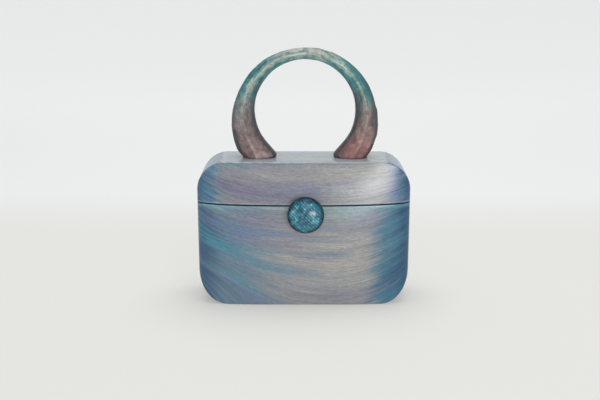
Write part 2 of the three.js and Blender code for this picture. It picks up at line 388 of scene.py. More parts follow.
def dyed_over(tree, coat, hue, value, clear, full, strength=1.0):
    """A coat under one more dye, which starts where a value is clear and is strongest where it is full."""
    mask = add(tree, RANGE, {"Value": value, "From Min": clear, "From Max": full, "To Max": strength},
               interpolation_type="SMOOTHSTEP")
    return add(tree, MIX, {"Factor": mask, "A": coat, "B": hue}, data_type="RGBA")


def toned(tree, tone, value, start, end, at_start, at_end):
    """A tone made darker or lighter by a factor that follows a value from its start to its end."""
    factor = add(tree, RANGE,
                 {"Value": value, "From Min": start, "From Max": end, "To Min": at_start, "To Max": at_end})
    return add(tree, MATH, (tone, factor), "MULTIPLY")


# Finishes

# Growth rings of the maple in millimetres: where they are lowest, how they rise from there to both ends,
# how much of that rise they show at the foot and above a height, and how they lean into the wood
RING_LOWEST_X = 30.0
LEFT_RISE, LEFT_STEEPENING = 0.001, 1.1e-7
RIGHT_RISE = 0.0036
LEFT_SAG_FOOT, LEFT_SAG_ABOVE, SAG_HEIGHT = -2.3, -0.3, 70.0
RIGHT_SAG_FOOT, RIGHT_SAG_PER_MM = -1.5, 0.01
RING_LEAN, RING_START = -0.5, 18.5

# Each layer of grain: millimetres along the fibre, across the rings and into the wood, and its detail
GRAIN_LAYERS = {
    "band": (70.0, 6.0, 50.0, 4.0),
    "violet": (60.0, 3.0, 50.0, 3.0),
    "bare": (50.0, 2.6, 40.0, 3.0),
    "creep": (40.0, 4.0, 40.0, 4.0),
    "cloud": (40.0, 18.0, 40.0, 4.0),
    "patch": (26.0, 6.0, 26.0, 4.0),
    "late": (200.0, 3.4, 60.0, 2.0),
    "line": (90.0, 1.4, 40.0, 2.0),
    "fleck": (4.2, 1.0, 3.0, 4.0),
    "ray": (1.1, 3.5, 3.0, 2.0),
    "brush": (46.0, 1.7, 40.0, 3.0),
    "fibre": (9.0, 0.34, 2.0, 3.0),
}

# How far each layer of grain starts from the one before, along the fibre and across the rings
LAYER_SHIFT = (7.3, 3.1)

# How far dye creeps along the fibres and pools along and across them, in millimetres
CREEP = 30.0
POOL_ALONG, POOL_ACROSS = 30.0, 16.0

# Where a wash starts and where it is strongest, as shares of its half width and height
WASH_CLEAR, WASH_FULL = 1.45, 0.1


def growth_rings(tree, mm):
    """Nodes for the way along the fibre, the ring that a place is on and the depth, in millimetres.

    The rings are lowest right of the middle and rise to the ends, on the left steeply low down and hardly
    from mid height on. The grain also wanders a few millimetres over the width of a hand."""
    wander = add(tree, NOISE, {"Vector": mm, "Scale": 1 / 90, "Detail": 1.0})
    drift = add(tree, VECTOR, (wander.outputs["Color"], (0.5, 0.5, 0.5)), "SUBTRACT")
    wood = add(tree, VECTOR, (drift, (6.0, 6.0, 8.0), mm), "MULTIPLY_ADD")
    x, y, z = add(tree, SPLIT, (wood,)).outputs
    from_lowest = add(tree, MATH, (x, RING_LOWEST_X), "SUBTRACT")
    left, right = (add(tree, MATH, (from_lowest, 0.0), side) for side in ("MINIMUM", "MAXIMUM"))
    left_square, right_square = (add(tree, MATH, (way, way), "MULTIPLY") for way in (left, right))
    steepening = add(tree, MATH, (left_square, LEFT_STEEPENING, LEFT_RISE), "MULTIPLY_ADD")
    left_rise = add(tree, MATH, (left_square, steepening), "MULTIPLY")
    right_rise = add(tree, MATH, (right_square, RIGHT_RISE), "MULTIPLY")
    left_sag = add(tree, RANGE,
                   {"Value": z, "From Min": 0.0, "From Max": SAG_HEIGHT,
                    "To Min": LEFT_SAG_FOOT, "To Max": LEFT_SAG_ABOVE}, interpolation_type="SMOOTHSTEP")
    right_sag = add(tree, MATH, (z, RIGHT_SAG_PER_MM, RIGHT_SAG_FOOT), "MULTIPLY_ADD")
    hung = z
    for rise, sag in ((left_rise, left_sag), (right_rise, right_sag)):
        hung = add(tree, MATH, (rise, sag, hung), "MULTIPLY_ADD")
    leaning = add(tree, MATH, (y, RING_LEAN, hung), "MULTIPLY_ADD")
    ring = add(tree, MATH, (leaning, RING_START), "SUBTRACT")
    return x, ring, y


def grain_noise(tree, x, ring, y):
    """Nodes for each layer of grain, by name, every layer with a start of its own."""
    grain = add(tree, JOIN, (x, ring, y))
    noise = {}
    for number, (layer, (along, across, deep, detail)) in enumerate(GRAIN_LAYERS.items()):
        start = (LAYER_SHIFT[0] * number, LAYER_SHIFT[1] * number, 0.0)
        scaled = add(tree, VECTOR, (grain, (1 / along, 1 / across, 1 / deep), start), "MULTIPLY_ADD")
        noise[layer] = add(tree, NOISE, {"Vector": scaled, "Scale": 1.0, "Detail": detail, "Roughness": 0.6})
    return noise


def dyed_maple(name, ends, washes, rims):
    """Maple, sanded, brushed with thin dyes and lacquered to a satin.

    The eye sees pale wood through the dye: soft broken washes that follow the growth rings, which hang like a
    smile on the front, thin dark late wood, short flecks that take the dye unevenly, and the lacquer's sheen.
    Ends and rims are (hue, clear at, full at, strength) along X and up Z, and washes are (hue, x, ring,
    half width, half height, strength), in millimetres: where the maker laid on each dye, and where sheen,
    highlight and shade are painted in."""
    finish, tree, hues, spot = new_finish(name)
    mm = add(tree, VECTOR, {0: spot, "Scale": MM_PER_M}, "SCALE")
    straight = add(tree, SPLIT, (mm,)).outputs
    x, ring, y = growth_rings(tree, mm)
    noise = grain_noise(tree, x, ring, y)
    pale = add(tree, RANGE, {"Value": noise["band"], "From Min": 0.3, "From Max": 0.7})
    coat = add(tree, MIX, {"Factor": pale, "A": hues.grey_wood, "B": hues.pale_wood}, data_type="RGBA")
    for layer, hue, strength in (("violet", hues.periwinkle, 0.35), ("bare", hues.pale_wood, 0.25)):
        coat = dyed_over(tree, coat, hue, noise[layer], 0.5, 0.72, strength)

    # Dye creeps along the fibres and pools, so its borders are feathered and its washes broken
    creep, pool = (add(tree, MATH, (noise[layer], -0.5), "ADD") for layer in ("creep", "cloud"))
    border = add(tree, MATH, (creep, CREEP, straight["X"]), "MULTIPLY_ADD")
    for hue, clear, full, strength in ends:
        coat = dyed_over(tree, coat, getattr(hues, hue), border, clear, full, strength)
    crept = add(tree, MATH, (creep, CREEP, x), "MULTIPLY_ADD")
    dye_x = add(tree, MATH, (pool, POOL_ALONG, crept), "MULTIPLY_ADD")
    dye_ring = add(tree, MATH, (pool, POOL_ACROSS, ring), "MULTIPLY_ADD")
    dye = add(tree, JOIN, (dye_x, dye_ring))
    patchy, banded, streaky = (
        add(tree, RANGE,
            {"Value": noise[layer], "From Min": low, "From Max": high, "To Min": least, "To Max": most})
        for layer, low, high, least, most in (
            ("patch", 0.32, 0.62, 0.35, 1.1),
            ("band", 0.32, 0.62, 0.35, 1.1),
            ("brush", 0.34, 0.6, 0.3, 1.2)))
    for number, (hue, at_x, at_ring, half_width, half_height, strength) in enumerate(washes):
        off = add(tree, VECTOR,
                  (dye, (1 / half_width, 1 / half_height, 0.0),
                   (-at_x / half_width, -at_ring / half_height, 0.0)), "MULTIPLY_ADD")
        away = add(tree, VECTOR, (off,), "LENGTH").outputs["Value"]
        laid = add(tree, RANGE,
                   {"Value": away, "From Min": WASH_CLEAR, "From Max": WASH_FULL, "To Max": strength},
                   interpolation_type="SMOOTHSTEP")
        for broken_by in (banded if number % 2 else patchy, streaky):
            laid = add(tree, MATH, (laid, broken_by), "MULTIPLY")
        coat = add(tree, MIX, {"Factor": laid, "A": coat, "B": getattr(hues, hue)}, data_type="RGBA")
    for hue, clear, full, strength in rims:
        coat = dyed_over(tree, coat, getattr(hues, hue), straight["Z"], clear, full, strength)

    # Thin dark late wood, lines, flecks, rays and fibres: light and dark about the dye's own colour
    from_late = add(tree, MATH, (noise["late"], 0.5), "SUBTRACT")
    off_late, from_heart = (add(tree, MATH, (way,), "ABSOLUTE") for way in (from_late, x))
    deepest = add(tree, RANGE,
                  {"Value": from_heart, "From Min": 45.0, "From Max": 85.0, "To Min": 0.88, "To Max": 0.64})
    tone = add(tree, RANGE, {"Value": off_late, "From Max": 0.05, "To Min": deepest})
    for layer, darkest, lightest in (("line", 0.92, 1.08), ("fleck", 0.82, 1.18), ("ray", 0.96, 1.04),
                                     ("fibre", 0.84, 1.16)):
        tone = toned(tree, tone, noise[layer], 0.3, 0.7, darkest, lightest)
    grained = add(tree, VECTOR, {0: coat, "Scale": tone}, "SCALE")
    sheen = add(tree, RANGE,
                {"Value": noise["fleck"], "From Min": 0.3, "From Max": 0.7, "To Min": 0.4, "To Max": 0.52})
    relief = add(tree, "ShaderNodeBump", {"Height": noise["fleck"], "Strength": 0.1, "Distance": 0.0002})
    end_finish(tree, {"Base Color": grained, "Roughness": sheen, "Normal": relief, "Specular IOR Level": 0.1,
                      "Coat Weight": 1.0, "Coat Roughness": 0.25})
    return finish


def body_maple():
    """The body's dyes: violet and blue-green sweeps from the left, thin right of the middle, blue ends, and
    painted shade on the rim in the seam.
    """
    ends = [
        ("slate", 0.0, -70.0, 0.9),
        ("end_teal", 54.0, 77.0, 0.9),
        ("end_blue", 80.0, 98.0, 0.9),
        ("end_blue", -70.0, -97.0, 0.84),
    ]
    washes = [
        ("periwinkle", -84.0, 65.3, 40.0, 7.6, 0.8),
        ("mauve", -44.0, 83.0, 44.0, 8.3, 0.9),
        ("periwinkle", -36.0, 70.1, 46.0, 4.7, 0.9),
        ("mauve", -32.0, 59.8, 44.0, 6.2, 0.8),
        ("teal", -84.0, 45.0, 50.0, 14.4, 0.9),
        ("teal", -26.0, 32.7, 40.0, 5.7, 0.7),
        ("pale_wood", -20.0, 43.7, 40.0, 6.5, 0.8),
        ("sea_green", -66.0, -9.5, 30.0, 13.0, 0.9),
        ("pale_wood", 40.0, 38.0, 34.0, 30.0, 0.8),
        ("slate", 14.0, 52.1, 36.0, 4.0, 0.7),
        ("periwinkle", 36.0, 80.0, 34.0, 4.5, 0.7),
        ("periwinkle", -50.0, -16.8, 56.0, 10.6, 0.8),
        ("mauve", 30.0, 4.0, 60.0, 9.0, 0.8),
        ("seam_teal", 48.0, 91.0, 40.0, 8.0, 0.6),
        ("seam_teal", -84.0, 82.8, 26.0, 5.3, 0.5),
        ("mauve", 66.0, 84.0, 14.0, 14.0, 0.6),
        ("end_blue", 92.0, 14.0, 22.0, 22.0, 0.8),
    ]
    rims = [
        ("seam_teal", 92.5, 96.6, 0.45),
        # Painted shade on the rim, deep in the seam
        ("rim_teal", 96.9, 97.2, 0.95),
    ]
    return dyed_maple("dyed_maple_body", ends, washes, rims)


def lid_maple():
    """The lid's dyes: thin and pale right of the middle, violet above the rim, blue ends, a dark rim of
    painted shade, with a painted sheen on the right and over the top and a painted highlight above the rim.
    """
    ends = [
        ("mauve", 50.0, -40.0, 0.75),
        ("sea_green", -66.0, -80.0, 0.4),
        ("periwinkle", 70.0, 82.0, 0.8),
        ("end_cyan", 78.0, 90.0, 0.6),
        ("end_blue", 86.0, 101.0, 0.9),
        ("end_cyan", -79.0, -86.0, 0.85),
        ("end_blue", -86.0, -100.0, 0.8),
    ]
    washes = [
        ("pale_wood", -48.0, 122.4, 40.0, 7.3, 0.6),
        ("sea_green", -68.0, 128.2, 26.0, 5.0, 0.7),
        ("violet", -62.0, 107.3, 28.0, 6.9, 0.8),
        ("violet", -16.0, 103.4, 46.0, 4.9, 0.7),
        ("periwinkle", -6.0, 112.1, 38.0, 4.9, 0.65),
        ("pale_wood", 30.0, 125.0, 38.0, 8.0, 0.5),
        # Painted sheen on the right of the lid's front
        ("edge_pale", 54.0, 111.0, 34.0, 10.0, 0.9),
        ("sea_green", 10.0, 134.9, 40.0, 4.0, 0.4),
    ]
    rims = [
        # Darker along the rounded edge between the top and the front
        ("slate", 133.6, 135.4, 0.3),
        # Painted sheen over the lid's top
        ("top_pale", 136.1, 137.0, 0.58),
        # Painted highlight along the lid's edge just above the seam
        ("edge_pale", 100.2, 99.2, 0.4),
        # Painted shade on the rim, deep in the seam
        ("rim_teal", 98.7, 98.5, 0.95),
    ]
    return dyed_maple("dyed_maple_lid", ends, washes, rims)


def bare_maple():
    """Maple, routed and left bare: a plain pale wood with fine rings and no shine."""
    finish, tree, hues, spot = new_finish("bare_maple_inside")
    lay = add(tree, "ShaderNodeMapping", {"Vector": spot, "Scale": (8.0, 90.0, 260.0)})
    rings = add(tree, NOISE, {"Vector": lay, "Scale": 1.0, "Detail": 5.0, "Roughness": 0.6})
    tint = add(tree, MIX, {"Factor": rings, "A": hues.bare_maple, "B": hues.bare_maple_dark},
               data_type="RGBA")
    rough = add(tree, RANGE, {"Value": rings, "To Min": 0.6, "To Max": 0.78})
    relief = add(tree, "ShaderNodeBump", {"Height": rings, "Strength": 0.2, "Distance": 0.0002})
    end_finish(tree, {"Base Color": tint, "Roughness": rough, "Normal": relief, "IOR": 1.5})
    return finish


# How far streaks and pools shift the handle's dyes: in height in millimetres, and round the section in shares
STREAK_RISE, POOL_RISE = 24.0, 40.0
MIDDLE_BREAK, EDGE_FRAY, WEAR_BREAK = 0.3, 0.14, 0.07

# How much painted shade darkens the right side: low down, and all the way up
RIGHT_SHADE_LOW, RIGHT_SHADE_ALL = -0.24, -0.03


def carved_dyed_wood():
    """Hardwood, cut to shape with a knife, dyed by hand and waxed.

    The eye sees the dye run from blue-green at the crown through taupe to red-brown feet, mottled, thin and
    pale along the middle where the cuts meet, with streaks along each cut; painted shade darkens the ring's
    inner and outer sides and its right side, and the feet are darker where they meet the lid."""
    finish, tree, hues, spot = new_finish("carved_dyed_handle")
    mm = add(tree, VECTOR, {0: spot, "Scale": MM_PER_M}, "SCALE")
    x, y, z = add(tree, SPLIT, (mm,)).outputs
    along, across, ridge, cut_tone = (
        add(tree, "ShaderNodeAttribute", attribute_name=name).outputs["Fac"]
        for name in ("along", "across", "from_ridge", "cut_tone"))

    # Streaks about 1.5 mm wide and 14 mm long, pools of dye about 13 mm across, mottles of 4.5 mm and specks
    skin = add(tree, JOIN, (along, across, y))
    cut = add(tree, VECTOR, (skin, (1 / 0.014, 1 / 0.0015, 1 / 2.2)), "MULTIPLY")
    streak = add(tree, NOISE, {"Vector": cut, "Scale": 1.0, "Detail": 3.0, "Roughness": 0.6})
    pools = add(tree, NOISE, {"Vector": mm, "Scale": 1 / 13, "Detail": 3.0, "Roughness": 0.6})
    mottle, speck = (
        add(tree, NOISE, {"Vector": mm, "Scale": 1 / wide, "Detail": 2.0}) for wide in (4.5, 1.2))
    lift, streak_lift = (add(tree, MATH, (noise, -0.5), "ADD") for noise in (pools, streak))
    streaked = add(tree, MATH, (streak_lift, STREAK_RISE, z), "MULTIPLY_ADD")
    height = add(tree, MATH, (lift, POOL_RISE, streaked), "MULTIPLY_ADD")

    # Dyes by height over the base, in millimetres: red-brown feet, taupe legs, a blue-green ring
    right = add(tree, RANGE, {"Value": x, "From Min": -25.0, "From Max": 45.0})
    coat = add(tree, MIX, {"Factor": right, "A": hues.foot_brown, "B": hues.foot_rose}, data_type="RGBA")
    for hue, clear, full in ((hues.leg_taupe, 138.0, 176.0), (hues.crown_teal, 172.0, 212.0)):
        coat = dyed_over(tree, coat, hue, height, clear, full)

    # Thin along the middle of the front and back, and all over the crown
    patchy = add(tree, MATH, (lift, MIDDLE_BREAK, ridge), "MULTIPLY_ADD")
    middle, crown, upper = (
        add(tree, RANGE,
            {"Value": value, "From Min": start, "From Max": end, "To Min": least, "To Max": most},
            interpolation_type="SMOOTHSTEP")
        for value, start, end, least, most in (
            (patchy, 0.08, 0.01, 0.0, 0.58),
            (height, 222.0, 242.0, 0.0, 0.75),
            (height, 172.0, 208.0, 0.12, 1.0)))
    most_worn = add(tree, MATH, (middle, crown), "MAXIMUM")
    thinned = add(tree, MATH, (most_worn, upper), "MULTIPLY")
    coat = add(tree, MIX, {"Factor": thinned, "A": coat, "B": hues.crown_pale}, data_type="RGBA")

    # Painted shade on the ring's inner and outer sides, more so low down
    frayed = add(tree, MATH, (streak_lift, EDGE_FRAY, ridge), "MULTIPLY_ADD")
    edge = add(tree, RANGE, {"Value": frayed, "From Min": 0.07, "From Max": 0.17, "To Max": 0.95},
               interpolation_type="SMOOTHSTEP")
    low = add(tree, RANGE, {"Value": z, "From Min": 228.0, "From Max": 178.0, "To Min": 0.15})
    edged = add(tree, MATH, (edge, low), "MULTIPLY")
    # Painted shade: a darkened copy of the coat mixed with dark slate
    shaded_coat = add(tree, VECTOR, {0: coat, "Scale": 0.2}, "SCALE")
    side_shade_tint = add(tree, MIX, {"Factor": 0.5, "A": hues.painted_side_shade, "B": shaded_coat}, data_type="RGBA")
    coat = add(tree, MIX, {"Factor": edged, "A": coat, "B": side_shade_tint}, data_type="RGBA")

    # It wears off the ridge and each cut takes it more or less; painted shade darkens the right side, most
    # low down, and the feet are darker at their base where they meet the lid
    broken = add(tree, MATH, (lift, WEAR_BREAK, ridge), "MULTIPLY_ADD")
    # Painted shade on the right side of the handle
    rightward = add(tree, RANGE, {"Value": x, "From Min": 10.0, "From Max": 50.0})
    right_shade = add(tree, MATH, (low, RIGHT_SHADE_LOW, RIGHT_SHADE_ALL), "MULTIPLY_ADD")
    tone = add(tree, MATH, (rightward, right_shade, 1.0), "MULTIPLY_ADD")
    for value, start, end, at_start, at_end in (
            (streak, 0.25, 0.75, 0.68, 1.26),
            (broken, 0.012, 0.0, 1.0, 1.3),
            (cut_tone, 0.0, 1.0, 0.76, 1.2),
            (mottle, 0.34, 0.66, 0.74, 1.24),
            (speck, 0.3, 0.7, 0.8, 1.2),
            (z, 137.3, 139.2, 0.4, 1.0)):
        tone = toned(tree, tone, value, start, end, at_start, at_end)
    grained = add(tree, VECTOR, {0: coat, "Scale": tone}, "SCALE")
    rough = add(tree, RANGE, {"Value": streak, "To Min": 0.42, "To Max": 0.6})
    relief = add(tree, "ShaderNodeBump", {"Height": streak, "Strength": 0.2, "Distance": 0.0003})
    end_finish(tree, {"Base Color": grained, "Roughness": rough, "Normal": relief, "IOR": 1.48,
                      "Coat Weight": 0.12, "Coat Roughness": 0.4})
    return finish


# Knife cuts across the knob in millimetres: their spacing both ways, the slant, and how far they wander
CROSS_PITCH, SLANT_PITCH = 1.9, 2.3
HATCH_SLANT = math.radians(-44)
HATCH_WANDER = 2.0

# Where a cut is deepest, as a share of a field from its middle, and how wide it is in the mesh and the dye
CUT_EDGE = 0.48
CARVED_WIDTH, DYED_WIDTH = 0.14, 0.24

# How much lighter or darker the knob's fields are by chance, and how much darker the cuts between them
FIELD_CHANCE, CUT_DARKER = 0.2, -0.3


def knob_hatching(tree, at, width):
    """Nodes for the knob's knife cuts: millimetres from its heart, the fields, and the depth from 0 to 1.

    The slanting cuts are deeper than the closer cross cuts, and both wander a little. Width is the share of a
    field on each side that a cut takes."""
    heart = (KNOB_LOW + KNOB_HIGH) / 2
    off = add(tree, VECTOR, (at, heart), "SUBTRACT")
    mm = add(tree, VECTOR, {0: off, "Scale": MM_PER_M}, "SCALE")
    lay = add(tree, "ShaderNodeVectorRotate", {"Vector": mm, "Angle": HATCH_SLANT}, rotation_type="Y_AXIS")
    wobble = add(tree, NOISE, {"Vector": lay, "Scale": 1 / 6, "Detail": 2.0})
    sway = add(tree, VECTOR,
               (wobble.outputs["Color"], (HATCH_WANDER, 0.0, HATCH_WANDER), lay), "MULTIPLY_ADD")
    hatch = add(tree, VECTOR, (sway, (1 / CROSS_PITCH, 0.0, 1 / SLANT_PITCH)), "MULTIPLY")
    inside = add(tree, VECTOR, (hatch,), "FRACTION")
    from_middle = add(tree, VECTOR, (inside, (0.5, 0.0, 0.5)), "SUBTRACT")
    to_edge = add(tree, VECTOR, (from_middle,), "ABSOLUTE")
    sides = add(tree, SPLIT, (to_edge,)).outputs
    slanting, crossing = (
        add(tree, RANGE,
            {"Value": sides[axis], "From Min": CUT_EDGE - width, "From Max": CUT_EDGE, "To Max": deepest})
        for axis, deepest in (("Z", 1.0), ("X", 0.6)))
    cut = add(tree, MATH, (slanting, crossing), "MAXIMUM")
    return lay, hatch, cut


def turned_dyed_wood():
    """Hardwood, turned to a dome, cross-hatched with a knife, dyed blue-green and polished.

    The eye sees slanting cuts about 2 mm apart crossed by closer ones, the small fields between them each
    light or dark as they took the dye, a gloss that the cuts break up, and the dye dark round the rim,
    deepened by painted shade where the dome turns away."""
    finish, tree, hues, spot = new_finish("turned_dyed_knob")
    lay, hatch, cut = knob_hatching(tree, spot, DYED_WIDTH)
    field = add(tree, VECTOR, (hatch,), "FLOOR")
    chance = add(tree, "ShaderNodeTexWhiteNoise", {"Vector": field}, noise_dimensions="3D").outputs["Value"]
    patches = add(tree, NOISE, {"Vector": lay, "Scale": 1 / 6, "Detail": 3.0, "Roughness": 0.6})
    pooled = add(tree, RANGE,
                 {"Value": patches, "From Min": 0.3, "From Max": 0.7, "To Min": 0.3, "To Max": 0.76})
    taken = add(tree, MATH, (chance, FIELD_CHANCE, pooled), "MULTIPLY_ADD")
    figure = add(tree, MATH, (cut, CUT_DARKER, taken), "MULTIPLY_ADD")
    tint = add(tree, "ShaderNodeValToRGB", {"Fac": figure},
               stops=[(0.26, hues.knob_blue), (0.6, hues.knob_teal), (0.92, hues.knob_light)])
    flat = add(tree, VECTOR, (lay, (1.0, 0.0, 1.0)), "MULTIPLY")
    radius = add(tree, VECTOR, (flat,), "LENGTH").outputs["Value"]
    # Darker towards the rim: the dye is dark there, with painted shade where the dome turns away
    rim = add(tree, RANGE,
              {"Value": radius, "From Min": 12.6, "From Max": 16.6, "To Min": 1.0, "To Max": 0.2},
              interpolation_type="SMOOTHSTEP")
    dyed = add(tree, VECTOR, {0: tint, "Scale": rim}, "SCALE")
    polish = add(tree, RANGE,
                 {"Value": radius, "From Min": 12.0, "From Max": 15.5, "To Min": 1.0, "To Max": 0.1})
    rough = add(tree, RANGE, {"Value": patches, "To Min": 0.3, "To Max": 0.44})

    # Pores about half a millimetre long between the cuts
    pores = add(tree, NOISE, {"Vector": lay, "Scale": 1 / 0.5, "Detail": 2.0})
    relief = add(tree, "ShaderNodeBump", {"Height": pores, "Strength": 0.05, "Distance": 0.0001})
    end_finish(tree, {"Base Color": dyed, "Roughness": rough, "Normal": relief, "Specular IOR Level": 0.15,
                      "Coat Weight": polish, "Coat Roughness": 0.17, "Coat IOR": 1.6})
    return finish


def bare_beech():
    """Beech dowel rod, bare: pale pinkish wood with short dark flecks."""
    finish, tree, hues, spot = new_finish("bare_beech_dowel")
    lay = add(tree, "ShaderNodeMapping", {"Vector": spot, "Scale": (2200.0, 350.0, 2200.0)})
    fleck = add(tree, NOISE, {"Vector": lay, "Scale": 1.0, "Detail": 2.0})
    tone = add(tree, RANGE, {"Value": fleck, "From Min": 0.3, "From Max": 0.7, "To Min": 0.7, "To Max": 1.1})
    tint = add(tree, VECTOR, {0: hues.beech[:3], "Scale": tone}, "SCALE")
    rough = add(tree, RANGE, {"Value": fleck, "To Min": 0.55, "To Max": 0.75})
    end_finish(tree, {"Base Color": tint, "Roughness": rough, "IOR": 1.5})
    return finish


def brushed_brass():
    """Brass sheet and rod, brushed along the hinge and left to dull: fine lines, warm, half bright."""
    finish, tree, hues, spot = new_finish("brushed_brass")
    lay = add(tree, "ShaderNodeMapping", {"Vector": spot, "Scale": (180.0, 4000.0, 4000.0)})
    brushed = add(tree, NOISE, {"Vector": lay, "Scale": 1.0, "Detail": 3.0})
    handled = add(tree, NOISE, {"Vector": spot, "Scale": 160.0, "Detail": 3.0})
    dull = add(tree, RANGE, {"Value": handled, "From Min": 0.4, "From Max": 0.75, "To Max": 0.7})
    tint = add(tree, MIX, {"Factor": dull, "A": hues.brass, "B": hues.brass_dull}, data_type="RGBA")
    rough = add(tree, RANGE, {"Value": brushed, "To Min": 0.25, "To Max": 0.5})
    relief = add(tree, "ShaderNodeBump", {"Height": brushed, "Strength": 0.15, "Distance": 0.0001})
    end_finish(tree, {"Base Color": tint, "Roughness": rough, "Normal": relief, "Metallic": 1.0})
    return finish


def finish_named(name, maker):
    """The material of that name, made on first use."""
    return bpy.data.materials.get(name) or maker()


# The pebble that body and lid are cut from

# Steps round a corner, over the flat top or bottom, and up each side of the lid and the body
CORNER_STEPS, FLAT_STEPS, LID_SIDE_STEPS, BODY_SIDE_STEPS = 44, 60, 5, 26

# Steps of a column over the front, the back, the side and each round, and how they crowd outwards
FRONT_STEPS, BACK_STEPS, BAND_STEPS, ROUND_STEPS = 44, 22, 10, 6
CROWDING = 2.2

# Turns in degrees at which a rim's eased edge has a row of points
EASE_TURNS = (30, 60, 90)


def end_recess(x, s, recess, steepness):
    """How far a face falls back at x, more and more steeply to the ends."""
    reach = np.minimum(np.abs(x) / (s.width / 2), 1.0)
    return recess * (1 - (1 - reach ** steepness) ** s.end_roundness)


def front_face(x, z, s):
    """Depth of the pillowed front at a place."""
    across = 1 - (x / (s.width / 2)) ** 2
    upright = 1 - (2 * z / s.height - 1) ** 2
    return end_recess(x, s, s.front_recess, s.front_power) - s.edge_depth / 2 - s.pillow * across * upright


def back_face(x, s):
    """Depth of the back at a place."""
    return s.edge_depth / 2 - end_recess(x, s, s.back_recess, s.back_power)


def corner_arc(centre, radii, start, end, steps):
    """Points of an elliptical corner between two angles in degrees."""
    turn = np.radians(np.linspace(start, end, steps + 1))
    return np.column_stack([centre[0] + radii[0] * np.cos(turn), centre[1] + radii[1] * np.sin(turn)])


def straight_run(start, end, steps):
    """Points of a straight line."""
    return np.linspace(start, end, steps + 1)


def part_outline(s, corner, inset, rim, is_lid):
    """(x, z) outline of one part seen from the front, from its rim on one side round to the other."""
    half = s.width / 2 - inset
    foot = half - s.side_taper
    shoulder = s.height - corner[1]
    lean = s.side_taper * (shoulder - rim) / (shoulder - s.bottom_rz)
    rim_x = half - lean
    if is_lid:
        radii = (corner[0] - inset, corner[1] - inset)
        flat = half - radii[0]
        top = s.height - inset
        runs = [
            straight_run((-rim_x, rim), (-half, shoulder), LID_SIDE_STEPS),
            corner_arc((-flat, shoulder), radii, 180, 90, CORNER_STEPS),
            straight_run((-flat, top), (flat, top), FLAT_STEPS),
            corner_arc((flat, shoulder), radii, 90, 0, CORNER_STEPS),
            straight_run((half, shoulder), (rim_x, rim), LID_SIDE_STEPS),
        ]
    else:
        radii = (s.bottom_rx - inset, s.bottom_rz - inset)
        flat = foot - radii[0]
        runs = [
            straight_run((rim_x, rim), (foot, s.bottom_rz), BODY_SIDE_STEPS),
            corner_arc((flat, s.bottom_rz), radii, 0, -90, CORNER_STEPS),
            straight_run((flat, inset), (-flat, inset), FLAT_STEPS),
            corner_arc((-flat, s.bottom_rz), radii, -90, -180, CORNER_STEPS),
            straight_run((-foot, s.bottom_rz), (-rim_x, rim), BODY_SIDE_STEPS),
        ]
    return np.concatenate([runs[0]] + [run[1:] for run in runs[1:]])


def rounded_corner(start, corner, end, steps):
    """Points of a round between two tangents, without its ends, for every column at once."""
    into = corner - start
    away = end - corner
    cosine = (into * away).sum(-1) / np.linalg.norm(into, axis=-1) / np.linalg.norm(away, axis=-1)
    weight = np.sqrt((1 + np.clip(cosine, -1, 1)) / 2)[:, None, None]
    t = np.linspace(0, 1, steps + 2)[1:-1][None, :, None]
    blend = (1 - t) ** 2 * start[:, None] + 2 * t * (1 - t) * weight * corner[:, None] + t ** 2 * end[:, None]
    return blend / ((1 - t) ** 2 + 2 * t * (1 - t) * weight + t ** 2)


def shell_columns(s, outlines, rim, inset, round_size):
    """A grid of points: each column runs from the middle of the rim over the front, the side and the back."""
    pole = np.array([0.0, rim])
    faces = (lambda x, z: front_face(x, z, s) + inset, lambda x, z: back_face(x, s) - inset)

    def on_face(outline, face, steps):
        shares = 1 - (1 - np.linspace(0, 1, steps)) ** CROWDING
        arm = outline - pole
        kept = 1 - round_size / np.linalg.norm(arm, axis=1)
        flat = pole + arm[:, None, :] * (shares[None, :] * kept[:, None])[..., None]
        return np.stack([flat[..., 0], face(flat[..., 0], flat[..., 1]), flat[..., 1]], axis=-1)

    front, back = (on_face(*given) for given in zip(outlines, faces, (FRONT_STEPS, BACK_STEPS)))
    front_corner, back_corner = (np.column_stack([o[:, 0], face(o[:, 0], o[:, 1]), o[:, 1]])
                                 for o, face in zip(outlines, faces))
    along = back_corner - front_corner
    along = along / np.linalg.norm(along, axis=1)[:, None]
    front_end = front_corner + along * np.linalg.norm(front_corner - front[:, -1], axis=1)[:, None]
    back_start = back_corner - along * np.linalg.norm(back_corner - back[:, -1], axis=1)[:, None]
    band = np.linspace(front_end, back_start, BAND_STEPS).swapaxes(0, 1)
    return np.concatenate([
        front,
        rounded_corner(front[:, -1], front_corner, front_end, ROUND_STEPS),
        band,
        rounded_corner(back_start, back_corner, back[:, -1], ROUND_STEPS),
        back[:, ::-1],
    ], axis=1)


def eased_rows(ring, into_wood, rise, ease):
    """Rows of points that round a rim's edge over into the wood."""
    step = np.roll(ring[:, :2], -1, axis=0) - np.roll(ring[:, :2], 1, axis=0)
    area = (ring[:, 0] * np.roll(ring[:, 1], -1) - np.roll(ring[:, 0], -1) * ring[:, 1]).sum()
    across = np.column_stack([-step[:, 1], step[:, 0]])
    inward = np.sign(area) * across / np.linalg.norm(step, axis=1)[:, None]
    rows = []
    for turn in np.radians(EASE_TURNS):
        row = ring.copy()
        row[:, :2] += into_wood * inward * ease * (1 - math.cos(turn))
        row[:, 2] += rise * ease * math.sin(turn)
        rows.append(row)
    return rows


